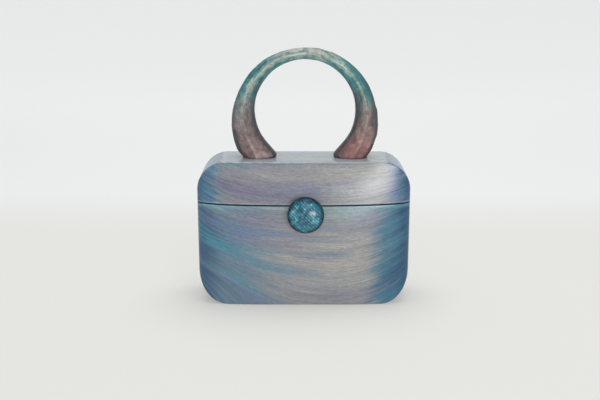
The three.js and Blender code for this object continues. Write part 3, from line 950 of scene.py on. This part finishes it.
def shell_piece(name, s, finishes, is_lid):
    """The body or the lid: outer skin, sawn rim with eased edges, and hollow, as one closed mesh."""
    rise = -1 if is_lid else 1
    rim = (s.lid_rim if is_lid else s.body_rim) - rise * s.rim_round
    skins, loops = [], []
    start = 0
    faces, hollow = [], []
    for inset, round_size in ((0.0, s.edge_round), (s.wall, s.hollow_round)):
        corners = ((s.top_rx, s.top_rz), (s.top_back_rx, s.top_back_rz))
        outlines = [part_outline(s, corner, inset, rim, is_lid) for corner in corners]
        grid = shell_columns(s, outlines, rim, inset, round_size)
        index = np.arange(start, start + grid.shape[0] * grid.shape[1]).reshape(grid.shape[:2])
        start += index.size
        skins.append(grid.reshape(-1, 3))
        loops.append(np.concatenate([index[0], index[-1, -2:0:-1]]))
        quads = grid_faces(index)
        faces.append(quads)
        hollow.append(np.full(len(quads), int(inset > 0)))
    points = np.concatenate(skins)
    outer = eased_rows(points[loops[0]], 1, rise, s.rim_round)
    inner = eased_rows(points[loops[1]], -1, rise, s.rim_round)
    rows = outer + inner[::-1]
    count = len(loops[0])
    between = start + np.arange(len(rows) * count).reshape(len(rows), count)
    rim_quads = ring_faces(np.vstack([loops[0], between, loops[1]]))
    faces.append(rim_quads)
    hollow.append(np.zeros(len(rim_quads), int))
    points = np.concatenate([points] + rows)
    return make_piece(name, points, np.concatenate(faces), finishes, np.concatenate(hollow))


def cut_leaf_recesses(piece):
    """Lets the hinge leaves into the back of a shell piece."""
    f = bpy.context.scene.handbag_fittings
    low = Vector((LEAF_LOW.x - f.fit_gap, BODY_HIGH.y - f.leaf_thick - f.fit_gap,
                  HINGE_AXIS.z - f.leaf_height - f.fit_gap))
    high = Vector((LEAF_HIGH.x + f.fit_gap, BODY_HIGH.y + f.leaf_height,
                   HINGE_AXIS.z + f.leaf_height + f.fit_gap))
    finishes = list(piece.data.materials)
    for side in (-1, 1):
        ends = sorted((side * low.x, side * high.x))
        tool = box_piece("leaf_recess", (ends[0], low.y, low.z), (ends[1], high.y, high.z), finishes, 1)
        combine(piece, tool, "DIFFERENCE")
    shade(piece.data)


def build_shell(name, outside, is_lid):
    """The body or the lid in its finishes, with the hinge leaves let in."""
    finishes = [outside, finish_named("bare_maple_inside", bare_maple)]
    piece = shell_piece(name, bpy.context.scene.handbag_shell, finishes, is_lid)
    cut_leaf_recesses(piece)
    return piece


class HANDBAG_OT_body(bpy.types.Operator):
    """Builds the hollow body with its pillowed front"""

    bl_idname = "handbag.body"
    bl_label = "Body"

    def execute(self, context):
        piece = build_shell("bag_body", body_maple(), is_lid=False)
        place(piece, "base", "dyed_wood_body", "body")
        return {"FINISHED"}


class HANDBAG_OT_lid(bpy.types.Operator):
    """Builds the hollow lid with the same outline as the body"""

    bl_idname = "handbag.lid"
    bl_label = "Lid"

    def execute(self, context):
        piece = build_shell("bag_lid", lid_maple(), is_lid=True)
        place(piece, "cover", "dyed_wood_lid", "lid")
        return {"FINISHED"}


# The ring handle

# Carved section: the first number runs from the ring's inside to its outside, the second from front to back
HANDLE_SECTION = [(0.05, -1), (0.7, -0.72), (1, -0.25), (1, 0.25), (0.7, 0.72),
                  (0.05, 1), (-0.66, 0.74), (-1, 0.28), (-1, -0.28), (-0.66, -0.74)]

# Share of a side that each corner loses, points on a side, rows from the crown to a foot, the section's mean
# width in metres, and how late the ring deepens towards its feet
CORNER_CUT = 0.14
EDGE_STEPS = 6
HALF_STATIONS = 120
SECTION_WIDTH = 0.02
FOOT_FLARE = 3

# Cuts run out over this length above the feet, in metres, and lose this share of their depth inside the ring
CUT_RUN_OUT = 0.006
INSIDE_SPARED = 0.75

# Edges sharper than this many degrees stay sharp between the cuts
CUT_SHARP = 16

# How unevenly the cuts are spread, how far apart two seeds' cuts are, and how much the cuts' edges are worn
CUT_SPREAD = 0.85
SEED_STEP = 31.7
CUT_WEAR = 0.3


def section_points():
    """The carved section with its corners taken off, starting on the front ridge."""
    corners = np.array(HANDLE_SECTION)
    points = []
    for here, there in zip(corners, np.roll(corners, -1, axis=0)):
        for step in np.linspace(CORNER_CUT, 1 - CORNER_CUT, EDGE_STEPS):
            points.append(here + (there - here) * step)
    return np.array(points)


def ring_edges(h, from_crown):
    """Outer and inner edge points of the ring's right half at shares of the way from crown to foot."""
    centre_z = h.crown - h.outer_radius
    foot_turn = math.asin((h.foot_z - centre_z) / h.outer_radius)
    turn = math.pi / 2 + (foot_turn - math.pi / 2) * from_crown
    outer = np.column_stack([h.outer_radius * np.cos(turn), centre_z + h.outer_radius * np.sin(turn)])
    inner_z = h.crown - h.crown_thick - h.inner_radius
    bend_end = math.pi / 2 - h.inner_sweep
    last = np.array([h.inner_radius * math.cos(bend_end), inner_z + h.inner_radius * math.sin(bend_end)])
    toe = np.array([h.toe_x, h.foot_z + h.toe_height])
    sole = np.array([h.toe_x + h.toe_ease, h.foot_z])
    bend_length = h.inner_radius * h.inner_sweep
    leg_length = np.linalg.norm(toe - last)
    sole_length = np.linalg.norm(sole - toe)
    way = from_crown * (bend_length + leg_length + sole_length)
    bend = math.pi / 2 - np.minimum(way / h.inner_radius, h.inner_sweep)
    on_bend = np.column_stack([h.inner_radius * np.cos(bend), inner_z + h.inner_radius * np.sin(bend)])
    leg = np.clip((way - bend_length) / leg_length, 0, 1)[:, None]
    end = np.clip((way - bend_length - leg_length) / sole_length, 0, 1)[:, None]
    inner = on_bend + (toe - last) * leg + (sole - toe) * end
    return outer, inner


def handle_tube(h, finish):
    """The ring as an open tube, with the ways along, across and around it as attributes and a UV map."""
    section = section_points()
    sides = len(section)
    signed = np.linspace(-1, 1, 2 * HALF_STATIONS + 1)
    outer, inner = ring_edges(h, np.abs(signed))
    for edge in (outer, inner):
        edge[:, 0] *= np.sign(signed)
    centre = (outer + inner) / 2
    reach = (outer - inner) / 2
    depth = h.grip_depth + (h.foot_depth - h.grip_depth) * np.abs(signed) ** FOOT_FLARE
    points = np.empty((len(signed), sides, 3))
    points[..., 0] = h.middle_x + centre[:, None, 0] + reach[:, None, 0] * section[:, 0]
    points[..., 1] = depth[:, None] / 2 * section[:, 1]
    points[..., 2] = centre[:, None, 1] + reach[:, None, 1] * section[:, 0]
    index = np.arange(points[..., 0].size).reshape(points.shape[:2])
    faces = ring_faces(index)
    mesh = bpy.data.meshes.new("handle")
    mesh.from_pydata(points.reshape(-1, 3).tolist(), [], faces.tolist())
    mesh.materials.append(finish)
    length = np.concatenate([[0], np.linalg.norm(np.diff(centre, axis=0), axis=1).cumsum()])
    around = np.arange(sides) / sides
    to_foot = np.minimum(length, length[-1] - length)
    ways = {
        "along": np.repeat(length, sides),
        "across": np.outer(np.linalg.norm(reach, axis=1), section[:, 0]).ravel(),
        "around": np.tile(around, len(signed)),
        "from_ridge": np.tile(0.25 - np.abs(np.mod(around, 0.5) - 0.25), len(signed)),
        "carved": np.outer(np.clip(to_foot / CUT_RUN_OUT, 0, 1),
                           1 - INSIDE_SPARED * np.clip(-section[:, 0], 0, 1)).ravel(),
    }
    for name, values in ways.items():
        mesh.attributes.new(name, "FLOAT", "POINT").data.foreach_set("value", values.astype(np.float32))
    station, side = np.divmod(faces, sides)
    wrapped = (side.max(1) - side.min(1) > 1)[:, None] & (side == 0)
    layout = np.stack([station / (len(signed) - 1), np.where(wrapped, sides, side) / sides], axis=-1)
    mesh.uv_layers.new(name="carving").data.foreach_set("uv", layout.astype(np.float32).ravel())
    mesh.shade_smooth()
    return in_scene("handle", mesh), float(length[-1])


def new_nodes(name, inputs):
    """An empty Geometry Nodes tree that takes a geometry, more inputs by name and kind, and a finish."""
    tree = bpy.data.node_groups.new(name, "GeometryNodeTree")
    for label, kind in {"Geometry": "Geometry", **inputs, "Finish": "Material"}.items():
        tree.interface.new_socket(label, in_out="INPUT", socket_type="NodeSocket" + kind)
    tree.interface.new_socket("Geometry", in_out="OUTPUT", socket_type="NodeSocketGeometry")
    return tree, add(tree, "NodeGroupInput").outputs


def end_nodes(tree, geometry, finish):
    """Ends a Geometry Nodes tree with real geometry that wears the finish."""
    real = add(tree, "GeometryNodeRealizeInstances", {"Geometry": geometry})
    done = add(tree, "GeometryNodeSetMaterial", {"Geometry": real, "Material": finish})
    add(tree, "NodeGroupOutput", {"Geometry": done})
    return tree


def knife_facets():
    """Geometry Nodes that flatten cells of a tube's skin, as overlapping knife cuts do."""
    measures = ("Ring Length", "Facet Length", "Facets Around", "Cut Depth", "Flatness", "Straightness",
                "Tilt")
    tree, given = new_nodes("knife_facets", {**dict.fromkeys(measures, "Float"), "Seed": "Int"})
    along, around, carved, layout = (
        add(tree, "GeometryNodeInputNamedAttribute", {"Name": name}, data_type=kind)
        for name, kind in (
            ("along", "FLOAT"), ("around", "FLOAT"), ("carved", "FLOAT"), ("carving", "FLOAT_VECTOR")))

    # The skin rolled up as a cylinder, so that cells close round the ring; one unit is one facet
    turn = add(tree, MATH, (around, 2 * math.pi), "MULTIPLY")
    roll = add(tree, MATH, (given["Facets Around"], 2 * math.pi), "DIVIDE")
    cosine, sine = (add(tree, MATH, (turn,), function) for function in ("COSINE", "SINE"))
    start = add(tree, MATH, (given["Seed"], SEED_STEP), "MULTIPLY")
    steps = add(tree, MATH, (along, given["Facet Length"]), "DIVIDE")
    rolled = add(tree, JOIN,
                 (add(tree, MATH, (steps, start), "ADD"),
                  add(tree, MATH, (cosine, roll), "MULTIPLY"),
                  add(tree, MATH, (sine, roll), "MULTIPLY")))
    cells = add(tree, "ShaderNodeTexVoronoi", {"Vector": rolled, "Scale": 1.0, "Randomness": CUT_SPREAD})
    heart = add(tree, SPLIT, (cells.outputs["Position"],)).outputs
    heart_step = add(tree, MATH, (heart["X"], start), "SUBTRACT")
    heart_along = add(tree, MATH, (heart_step, given["Facet Length"]), "MULTIPLY")
    cut_along = add(tree, MIX,
                    {"Factor": given["Straightness"], "A": along, "B": heart_along}, data_type="FLOAT")
    heart_turn = add(tree, MATH, (heart["Z"], heart["Y"]), "ARCTAN2")
    heart_share = add(tree, MATH, (heart_turn, 2 * math.pi), "DIVIDE")
    heart_around = add(tree, MATH, (heart_share, 1.0), "FLOORED_MODULO")
    at = add(tree, JOIN, (add(tree, MATH, (cut_along, given["Ring Length"]), "DIVIDE"), heart_around))

    # Each point moves onto the plane that touches the skin at the heart of its cell
    here = add(tree, "GeometryNodeInputPosition")
    skin_normal = add(tree, "GeometryNodeInputNormal")
    touch, upright = (
        add(tree, "GeometryNodeSampleUVSurface",
            {"Mesh": given["Geometry"], "Value": value, "UV Map": layout, "Sample UV": at},
            data_type="FLOAT_VECTOR")
        for value in (here, skin_normal))
    chance = add(tree, VECTOR, (cells.outputs["Color"], (0.5, 0.5, 0.5)), "SUBTRACT")
    lean = add(tree, VECTOR, {0: chance, "Scale": given["Tilt"]}, "SCALE")
    tilted = add(tree, VECTOR, (upright, lean), "ADD")
    facing = add(tree, VECTOR, (tilted,), "NORMALIZE")
    off = add(tree, VECTOR, (here, touch), "SUBTRACT")
    height = add(tree, VECTOR, (off, facing), "DOT_PRODUCT")
    flat = add(tree, MATH, (height, given["Flatness"], given["Cut Depth"]), "MULTIPLY_ADD")
    held = add(tree, MATH, (flat, touch.outputs["Is Valid"]), "MULTIPLY")
    eased = add(tree, MATH, (held, carved), "MULTIPLY")
    sunk = add(tree, MATH, (eased, -1.0), "MULTIPLY")
    shift = add(tree, VECTOR, {0: facing, "Scale": sunk}, "SCALE")
    soft = add(tree, "GeometryNodeBlurAttribute", {"Value": shift, "Iterations": 1, "Weight": CUT_WEAR},
               data_type="FLOAT_VECTOR")
    cut = add(tree, "GeometryNodeSetPosition", {"Geometry": given["Geometry"], "Offset": soft})
    own = add(tree, SPLIT, (cells.outputs["Color"],))
    marked = add(tree, "GeometryNodeStoreNamedAttribute", {"Geometry": cut, "Name": "cut_tone", "Value": own},
                 data_type="FLOAT", domain="POINT")
    return end_nodes(tree, marked, given["Finish"])


def run_nodes(piece, tree, inputs):
    """Runs a Geometry Nodes tree on a piece with these inputs and keeps the result as a plain mesh."""
    step = piece.modifiers.new(tree.name, "NODES")
    step.node_group = tree
    for item in tree.interface.items_tree:
        if item.in_out == "INPUT" and item.name in inputs:
            step[item.identifier] = inputs[item.name]
    plain_mesh(piece)


class HANDBAG_OT_handle(bpy.types.Operator):
    """Builds the carved ring handle with its knife facets"""

    bl_idname = "handbag.handle"
    bl_label = "Handle"

    def execute(self, context):
        h = context.scene.handbag_handle
        finish = carved_dyed_wood()
        piece, length = handle_tube(h, finish)
        girth = math.pi * (h.grip_depth + SECTION_WIDTH) / 2
        run_nodes(piece, knife_facets(), {
            "Ring Length": length, "Facet Length": h.facet_length, "Facets Around": girth / h.facet_width,
            "Cut Depth": h.cut_depth, "Flatness": h.flatness, "Straightness": h.straightness, "Tilt": h.tilt,
            "Seed": h.seed, "Finish": finish,
        })
        mend(piece.data, lambda work: bmesh.ops.holes_fill(
            work, edges=[edge for edge in work.edges if edge.is_boundary], sides=0))
        shade(piece.data, CUT_SHARP)
        piece.name = "carved_handle"
        place(piece, "cover", "dyed_wood_handle", "handle")
        return {"FINISHED"}


# Knob, dowel and hinges

# Rows of points over the knob's dome and its eased back, and steps round each turned piece
DOME_ROWS, BACK_ROWS = 113, 7
KNOB_SEGMENTS, DOWEL_SEGMENTS, KNUCKLE_SEGMENTS, PIN_SEGMENTS = 400, 40, 40, 32

# A pin's shoulder: its share of the radius and of the domed end's height
SHOULDER_OUT, SHOULDER_UP = 0.7, 0.3

# A screw head's steps round and up, and its slot: length and width by the head's radius, depth by its dome
SCREW_SEGMENTS, SCREW_RINGS = 28, 14
SLOT_LENGTH, SLOT_WIDTH, SLOT_DEPTH = 3.0, 0.26, 1.4

# Edges sharper than these many degrees stay sharp on the hinge leaves and the screws
LEAF_SHARP, SCREW_SHARP = 50, 30


def back_middle(low, high):
    """Middle of a box's back, where a piece that is turned towards the front starts."""
    return ((low.x + high.x) / 2, high.y, (low.z + high.z) / 2)


def both_ends(end, length):
    """The profile of a turned piece whose two ends are alike."""
    return end + [(radius, length - height) for radius, height in reversed(end)]


def cross_hatch():
    """Geometry Nodes that sink the knob's knife cuts into its dome, not into its rim and back."""
    tree, given = new_nodes("cross_hatch", {"Cut Depth": "Float"})
    cut = knob_hatching(tree, add(tree, "GeometryNodeInputPosition"), CARVED_WIDTH)[2]
    upright = add(tree, "GeometryNodeInputNormal")
    facing = add(tree, SPLIT, (upright,)).outputs["Y"]
    kept = add(tree, RANGE,
               {"Value": facing, "From Min": -0.3, "From Max": -0.6, "To Min": 0.0, "To Max": -1.0})
    deep = add(tree, MATH, (cut, given["Cut Depth"]), "MULTIPLY")
    sunk = add(tree, MATH, (deep, kept), "MULTIPLY")
    shift = add(tree, VECTOR, {0: upright, "Scale": sunk}, "SCALE")
    hatched = add(tree, "GeometryNodeSetPosition", {"Geometry": given["Geometry"], "Offset": shift})
    return end_nodes(tree, hatched, given["Finish"])


class HANDBAG_OT_knob(bpy.types.Operator):
    """Turns the domed knob that overlaps the seam"""

    bl_idname = "handbag.knob"
    bl_label = "Knob"

    def execute(self, context):
        f = context.scene.handbag_fittings
        centre = back_middle(KNOB_LOW, KNOB_HIGH)
        radius = (KNOB_HIGH.x - KNOB_LOW.x) / 2
        rim = KNOB_HIGH.y - KNOB_LOW.y - f.knob_dome
        dome = [(radius * math.sin(t), rim + f.knob_dome * math.cos(t))
                for t in np.linspace(0, math.pi / 2, DOME_ROWS)]
        back = [(radius - f.knob_ease * (1 - math.cos(t)), f.knob_ease * (1 - math.sin(t)))
                for t in np.linspace(0, math.pi / 2, BACK_ROWS)]
        finish = turned_dyed_wood()
        profile = dome + back + [(0.0, 0.0)]
        piece = lathe_piece("turned_knob", profile, centre, (0, -1, 0), KNOB_SEGMENTS, [finish])
        run_nodes(piece, cross_hatch(), {"Cut Depth": f.knob_cut, "Finish": finish})
        place(piece, "cover", "dyed_wood_knob", "knob")
        return {"FINISHED"}


class HANDBAG_OT_dowel(bpy.types.Operator):
    """Turns the short dowel that carries the knob"""

    bl_idname = "handbag.dowel"
    bl_label = "Dowel"

    def execute(self, context):
        radius = (DOWEL_HIGH.z - DOWEL_LOW.z) / 2
        centre = back_middle(DOWEL_LOW, DOWEL_HIGH)
        chamfer = radius / 6
        profile = both_ends([(0.0, 0.0), (radius - chamfer, 0.0), (radius, chamfer)],
                            DOWEL_HIGH.y - DOWEL_LOW.y)
        piece = lathe_piece("knob_post", profile, centre, (0, -1, 0), DOWEL_SEGMENTS, [bare_beech()])
        place(piece, "cover", "beech_dowel", "knob_dowel")
        return {"FINISHED"}


def hinge_middles():
    """Name and sideways place of each hinge."""
    middle = (LEAF_LOW.x + LEAF_HIGH.x) / 2
    return (("left", -middle), ("right", middle))


def knuckle_tube(name, f, x0, x1, finish):
    """One rolled knuckle round the hinge's axis, with eased ends."""
    ease = f.knuckle_radius / 12
    end = [(f.knuckle_bore, 0.0), (f.knuckle_radius - ease, 0.0), (f.knuckle_radius, ease)]
    profile = both_ends(end, x1 - x0) + end[:1]
    start = (x0, HINGE_AXIS.y, HINGE_AXIS.z)
    return lathe_piece(name, profile, start, (1, 0, 0), KNUCKLE_SEGMENTS, [finish])


def hinge_leaf(name, f, middle, direction, stretches, finish):
    """A leaf above or below the axis: a plate, with a web and a knuckle at each given stretch."""
    face = BODY_HIGH.y
    front = face - f.leaf_thick
    near = HINGE_AXIS.z + direction * (f.knuckle_radius + f.knuckle_gap)
    far = HINGE_AXIS.z + direction * f.leaf_height
    low, high = sorted((near, far))
    leaf = box_piece(name, (middle - LEAF_HALF, front, low), (middle + LEAF_HALF, face, high), [finish])
    bevel = leaf.modifiers.new("eased", "BEVEL")
    bevel.width = f.leaf_thick / 6
    bevel.segments = 2
    plain_mesh(leaf)
    for x0, x1 in stretches:
        web_end = near + direction * f.leaf_thick
        root = HINGE_AXIS.z + direction * (f.knuckle_bore + f.knuckle_radius) / 2
        low, high = sorted((root, web_end))
        web = box_piece("web", (middle + x0, front, low), (middle + x1, face, high), [finish])
        combine(leaf, web, "UNION")
        tube = knuckle_tube("knuckle", f, middle + x0, middle + x1, finish)
        combine(leaf, tube, "UNION")
    shade(leaf.data, LEAF_SHARP)
    return leaf


class HANDBAG_OT_hinge_leaves(bpy.types.Operator):
    """Makes the brass leaves of both hinges with their knuckles"""

    bl_idname = "handbag.hinge_leaves"
    bl_label = "Hinge leaves"

    def execute(self, context):
        f = context.scene.handbag_fittings
        finish = finish_named("brushed_brass", brushed_brass)
        inner = f.knuckle_middle / 2
        outer_stretches = [(-LEAF_HALF, -inner - f.knuckle_gap), (inner + f.knuckle_gap, LEAF_HALF)]
        for side, middle in hinge_middles():
            lower = hinge_leaf(f"body_leaf_{side}", f, middle, -1, outer_stretches, finish)
            place(lower, "base", "hinge_brass", f"hinge_body_leaf_{side}")
            upper = hinge_leaf(f"lid_leaf_{side}", f, middle, 1, [(-inner, inner)], finish)
            place(upper, "cover", "hinge_brass", f"hinge_lid_leaf_{side}")
        return {"FINISHED"}


class HANDBAG_OT_hinge_pins(bpy.types.Operator):
    """Turns the brass pins of both hinges"""

    bl_idname = "handbag.hinge_pins"
    bl_label = "Hinge pins"

    def execute(self, context):
        finish = finish_named("brushed_brass", brushed_brass)
        radius = (PIN_HIGH.z - PIN_LOW.z) / 2
        length = PIN_HIGH.x - PIN_LOW.x
        dome = radius / 3
        end = [(0.0, 0.0), (radius * SHOULDER_OUT, dome * SHOULDER_UP), (radius, dome)]
        profile = both_ends(end, length)
        for side, middle in hinge_middles():
            start = (middle - length / 2, HINGE_AXIS.y, HINGE_AXIS.z)
            pin = lathe_piece(f"pin_{side}", profile, start, (1, 0, 0), PIN_SEGMENTS, [finish])
            place(pin, "base", "hinge_brass", f"hinge_pin_{side}")
        return {"FINISHED"}


def screw_heads():
    """Geometry Nodes that set slotted screw heads on the leaves of both hinges."""
    measures = ("Hinge Place", "Pitch", "Head Radius", "Head Dome")
    inputs = {**dict.fromkeys(measures, "Float"), "First Hinge": "Vector", "Seed": "Int"}
    tree, given = new_nodes("screw_heads", inputs)

    # A low dome that reaches into the leaf, with a slot cut across it
    ball = add(tree, "GeometryNodeMeshUVSphere",
               {"Segments": SCREW_SEGMENTS, "Rings": SCREW_RINGS, "Radius": given["Head Radius"]})
    low = add(tree, MATH, (given["Head Dome"], given["Head Radius"]), "DIVIDE")
    pressed = add(tree, "GeometryNodeTransform",
                  {"Geometry": ball, "Scale": add(tree, JOIN, (1.0, 1.0, low))})
    slot = [add(tree, MATH, (given[measure], times), "MULTIPLY")
            for measure, times in (
                ("Head Radius", SLOT_LENGTH), ("Head Radius", SLOT_WIDTH), ("Head Dome", SLOT_DEPTH))]
    blade = add(tree, "GeometryNodeMeshCube", {"Size": add(tree, JOIN, slot)})
    raised = add(tree, "GeometryNodeTransform",
                 {"Geometry": blade, "Translation": add(tree, JOIN, {2: given["Head Dome"]})})
    head = add(tree, "GeometryNodeMeshBoolean", (pressed, raised), "DIFFERENCE", solver="EXACT")

    # Two hinges, two screws on each, every slot turned its own way
    apart = add(tree, MATH, (given["Hinge Place"], 2.0), "MULTIPLY")
    hinges = add(tree, "GeometryNodeMeshLine",
                 {"Count": 2, "Start Location": given["First Hinge"],
                  "Offset": add(tree, JOIN, (apart,))})
    left = add(tree, MATH, (given["Pitch"], -0.5), "MULTIPLY")
    pair = add(tree, "GeometryNodeMeshLine",
               {"Count": 2, "Start Location": add(tree, JOIN, (left,)),
                "Offset": add(tree, JOIN, (given["Pitch"],))})
    pairs = add(tree, "GeometryNodeInstanceOnPoints", {"Points": hinges, "Instance": pair})
    spots = add(tree, "GeometryNodeRealizeInstances", {"Geometry": pairs})
    turn = add(tree, "FunctionNodeRandomValue", {"Min": 0.0, "Max": math.pi, "Seed": given["Seed"]},
               data_type="FLOAT")
    turned = add(tree, JOIN, (-math.pi / 2, turn))
    screws = add(tree, "GeometryNodeInstanceOnPoints",
                 {"Points": spots, "Instance": head, "Rotation": turned})
    return end_nodes(tree, screws, given["Finish"])


class HANDBAG_OT_hinge_screws(bpy.types.Operator):
    """Sets the slotted screws that hold the leaves"""

    bl_idname = "handbag.hinge_screws"
    bl_label = "Hinge screws"

    def execute(self, context):
        f = context.scene.handbag_fittings
        finish = finish_named("brushed_brass", brushed_brass)
        tree = screw_heads()
        middle = hinge_middles()[1][1]
        for name, body, direction in (("body_screws", "base", -1), ("lid_screws", "cover", 1)):
            piece = in_scene(name, bpy.data.meshes.new(name))
            run_nodes(piece, tree, {
                "Hinge Place": middle, "Pitch": f.screw_pitch, "Head Radius": f.screw_radius,
                "Head Dome": f.screw_proud, "Seed": f.screw_seed, "Finish": finish,
                "First Hinge": (-middle, BODY_HIGH.y, HINGE_AXIS.z + direction * f.screw_drop),
            })
            shade(piece.data, SCREW_SHARP)
            place(piece, body, "hinge_brass")
        return {"FINISHED"}


# Floor, light and camera

# Soft lights: place, width and height in metres, and whether a flag keeps each off the floor
LIGHTS = {
    "key": ((0.2, -1.5, 1.0), 1.0, 0.9, False),
    "window": ((0.56, -1.06, 0.12), 0.5, 0.24, True),
    "fill": ((-1.25, -0.7, 0.3), 0.8, 0.5, True),
    "top": ((0.1, 0.25, 2.2), 1.8, 1.8, False),
}
LIGHT_AIM = (0.0, 0.0, 0.1)
LIGHT_SPREAD = math.radians(140)

# The paper sweep: how far it bends up at its edge, and its steps up the bend and round
SWEEP_BEND = math.radians(80)
SWEEP_STEPS, SWEEP_SEGMENTS = 21, 96

# Width of the camera's sensor
SENSOR_WIDTH_MM = 36.0


def matt_paper():
    """Thin paper sweep, matt, with light coming through it: pale and even, shadows soft, a faint tooth."""
    st = bpy.context.scene.handbag_stage
    finish, tree, hues, spot = new_finish("matt_paper")
    back = add(tree, SPLIT, (spot,)).outputs["Y"]
    far = add(tree, RANGE, {"Value": back, "From Min": 0.2, "From Max": 0.5}, interpolation_type="SMOOTHSTEP")
    tint = add(tree, MIX, {"Factor": far, "A": hues.floor, "B": hues.backdrop}, data_type="RGBA")
    thrown_back = add(tree, VECTOR, {0: tint, "Scale": 0.65}, "SCALE")
    glow = add(tree, RANGE,
               {"Value": back, "From Min": 0.4, "From Max": 1.9,
                "To Min": st.floor_glow, "To Max": st.wall_glow}, interpolation_type="SMOOTHSTEP")
    tooth = add(tree, NOISE, {"Vector": spot, "Scale": 900.0, "Detail": 2.0})
    relief = add(tree, "ShaderNodeBump", {"Height": tooth, "Strength": 0.05, "Distance": 0.0002})
    end_finish(tree, {"Base Color": thrown_back, "Normal": relief, "Roughness": 0.9,
                      "Specular IOR Level": 0.1, "Emission Color": tint, "Emission Strength": glow})
    return finish


def soft_light(name, energy, floor):
    """A large rectangular light that the camera doesn't see, kept off the floor if a studio flag is set."""
    spot, width, height, flag = LIGHTS[name]
    light = bpy.data.lights.new(name, "AREA")
    light.shape = "RECTANGLE"
    light.size = width
    light.size_y = height
    light.energy = energy
    light.spread = LIGHT_SPREAD
    lamp = in_scene(name, light)
    lamp.location = spot
    lamp.rotation_euler = (Vector(LIGHT_AIM) - Vector(spot)).to_track_quat("-Z", "Y").to_euler()
    lamp.visible_camera = False
    if flag:
        flagged = bpy.data.collections.new(name + "_flag")
        flagged.objects.link(floor)
        flagged.collection_objects[0].light_linking.link_state = "EXCLUDE"
        lamp.light_linking.receiver_collection = flagged


class HANDBAG_OT_stage(bpy.types.Operator):
    """Lays the floor and sets the light and the camera"""

    bl_idname = "handbag.stage"
    bl_label = "Stage"

    def execute(self, context):
        scene = context.scene
        st = scene.handbag_stage
        sweep = [(st.floor_radius + st.sweep_radius * math.sin(t), st.sweep_radius * (1 - math.cos(t)))
                 for t in np.linspace(0, SWEEP_BEND, SWEEP_STEPS)]
        profile = [(0.0, 0.0)] + sweep
        floor = lathe_piece("floor", profile, (0, 0, 0), (0, 0, 1), SWEEP_SEGMENTS, [matt_paper()])
        world = bpy.data.worlds.new("even_sky")
        world.use_nodes = True
        world.node_tree.nodes.clear()
        sky = add(world.node_tree, "ShaderNodeBackground", {"Color": linear("#fdfdff"), "Strength": st.sky})
        add(world.node_tree, "ShaderNodeOutputWorld", {"Surface": sky})
        scene.world = world
        for name in LIGHTS:
            soft_light(name, getattr(st, name), floor)
        lens = bpy.data.cameras.new("camera")
        lens.lens = st.lens
        lens.sensor_width = SENSOR_WIDTH_MM
        camera = in_scene("camera", lens)
        camera.location = st.camera_place
        camera.rotation_euler = (math.pi / 2 - st.camera_pitch, 0.0, 0.0)
        scene.camera = camera
        scene.view_settings.view_transform = "Standard"
        return {"FINISHED"}


OPERATORS = (
    HANDBAG_OT_body,
    HANDBAG_OT_lid,
    HANDBAG_OT_handle,
    HANDBAG_OT_knob,
    HANDBAG_OT_dowel,
    HANDBAG_OT_hinge_leaves,
    HANDBAG_OT_hinge_pins,
    HANDBAG_OT_hinge_screws,
    HANDBAG_OT_stage,
)


class HANDBAG_PT_panel(bpy.types.Panel):
    """Lists the pieces of the handbag"""

    bl_idname = "HANDBAG_PT_panel"
    bl_label = "Wooden Handbag"
    bl_space_type = "VIEW_3D"
    bl_region_type = "UI"
    bl_category = "Handbag"

    def draw(self, context):
        for operator in OPERATORS:
            self.layout.operator(operator.bl_idname)


PROPERTY_GROUPS = {
    "handbag_shell": HANDBAG_PG_shell,
    "handbag_handle": HANDBAG_PG_handle,
    "handbag_fittings": HANDBAG_PG_fittings,
    "handbag_colours": HANDBAG_PG_colours,
    "handbag_stage": HANDBAG_PG_stage,
}
CLASSES = (*PROPERTY_GROUPS.values(), *OPERATORS, HANDBAG_PT_panel)


def register():
    for item in CLASSES:
        bpy.utils.register_class(item)
    for name, group in PROPERTY_GROUPS.items():
        setattr(bpy.types.Scene, name, PointerProperty(type=group))


def unregister():
    for name in PROPERTY_GROUPS:
        delattr(bpy.types.Scene, name)
    for item in reversed(CLASSES):
        bpy.utils.unregister_class(item)


def main():
    register()
    for operator in OPERATORS:
        group, name = operator.bl_idname.split(".")
        getattr(getattr(bpy.ops, group), name)()


if __name__ == "__main__":
    main()
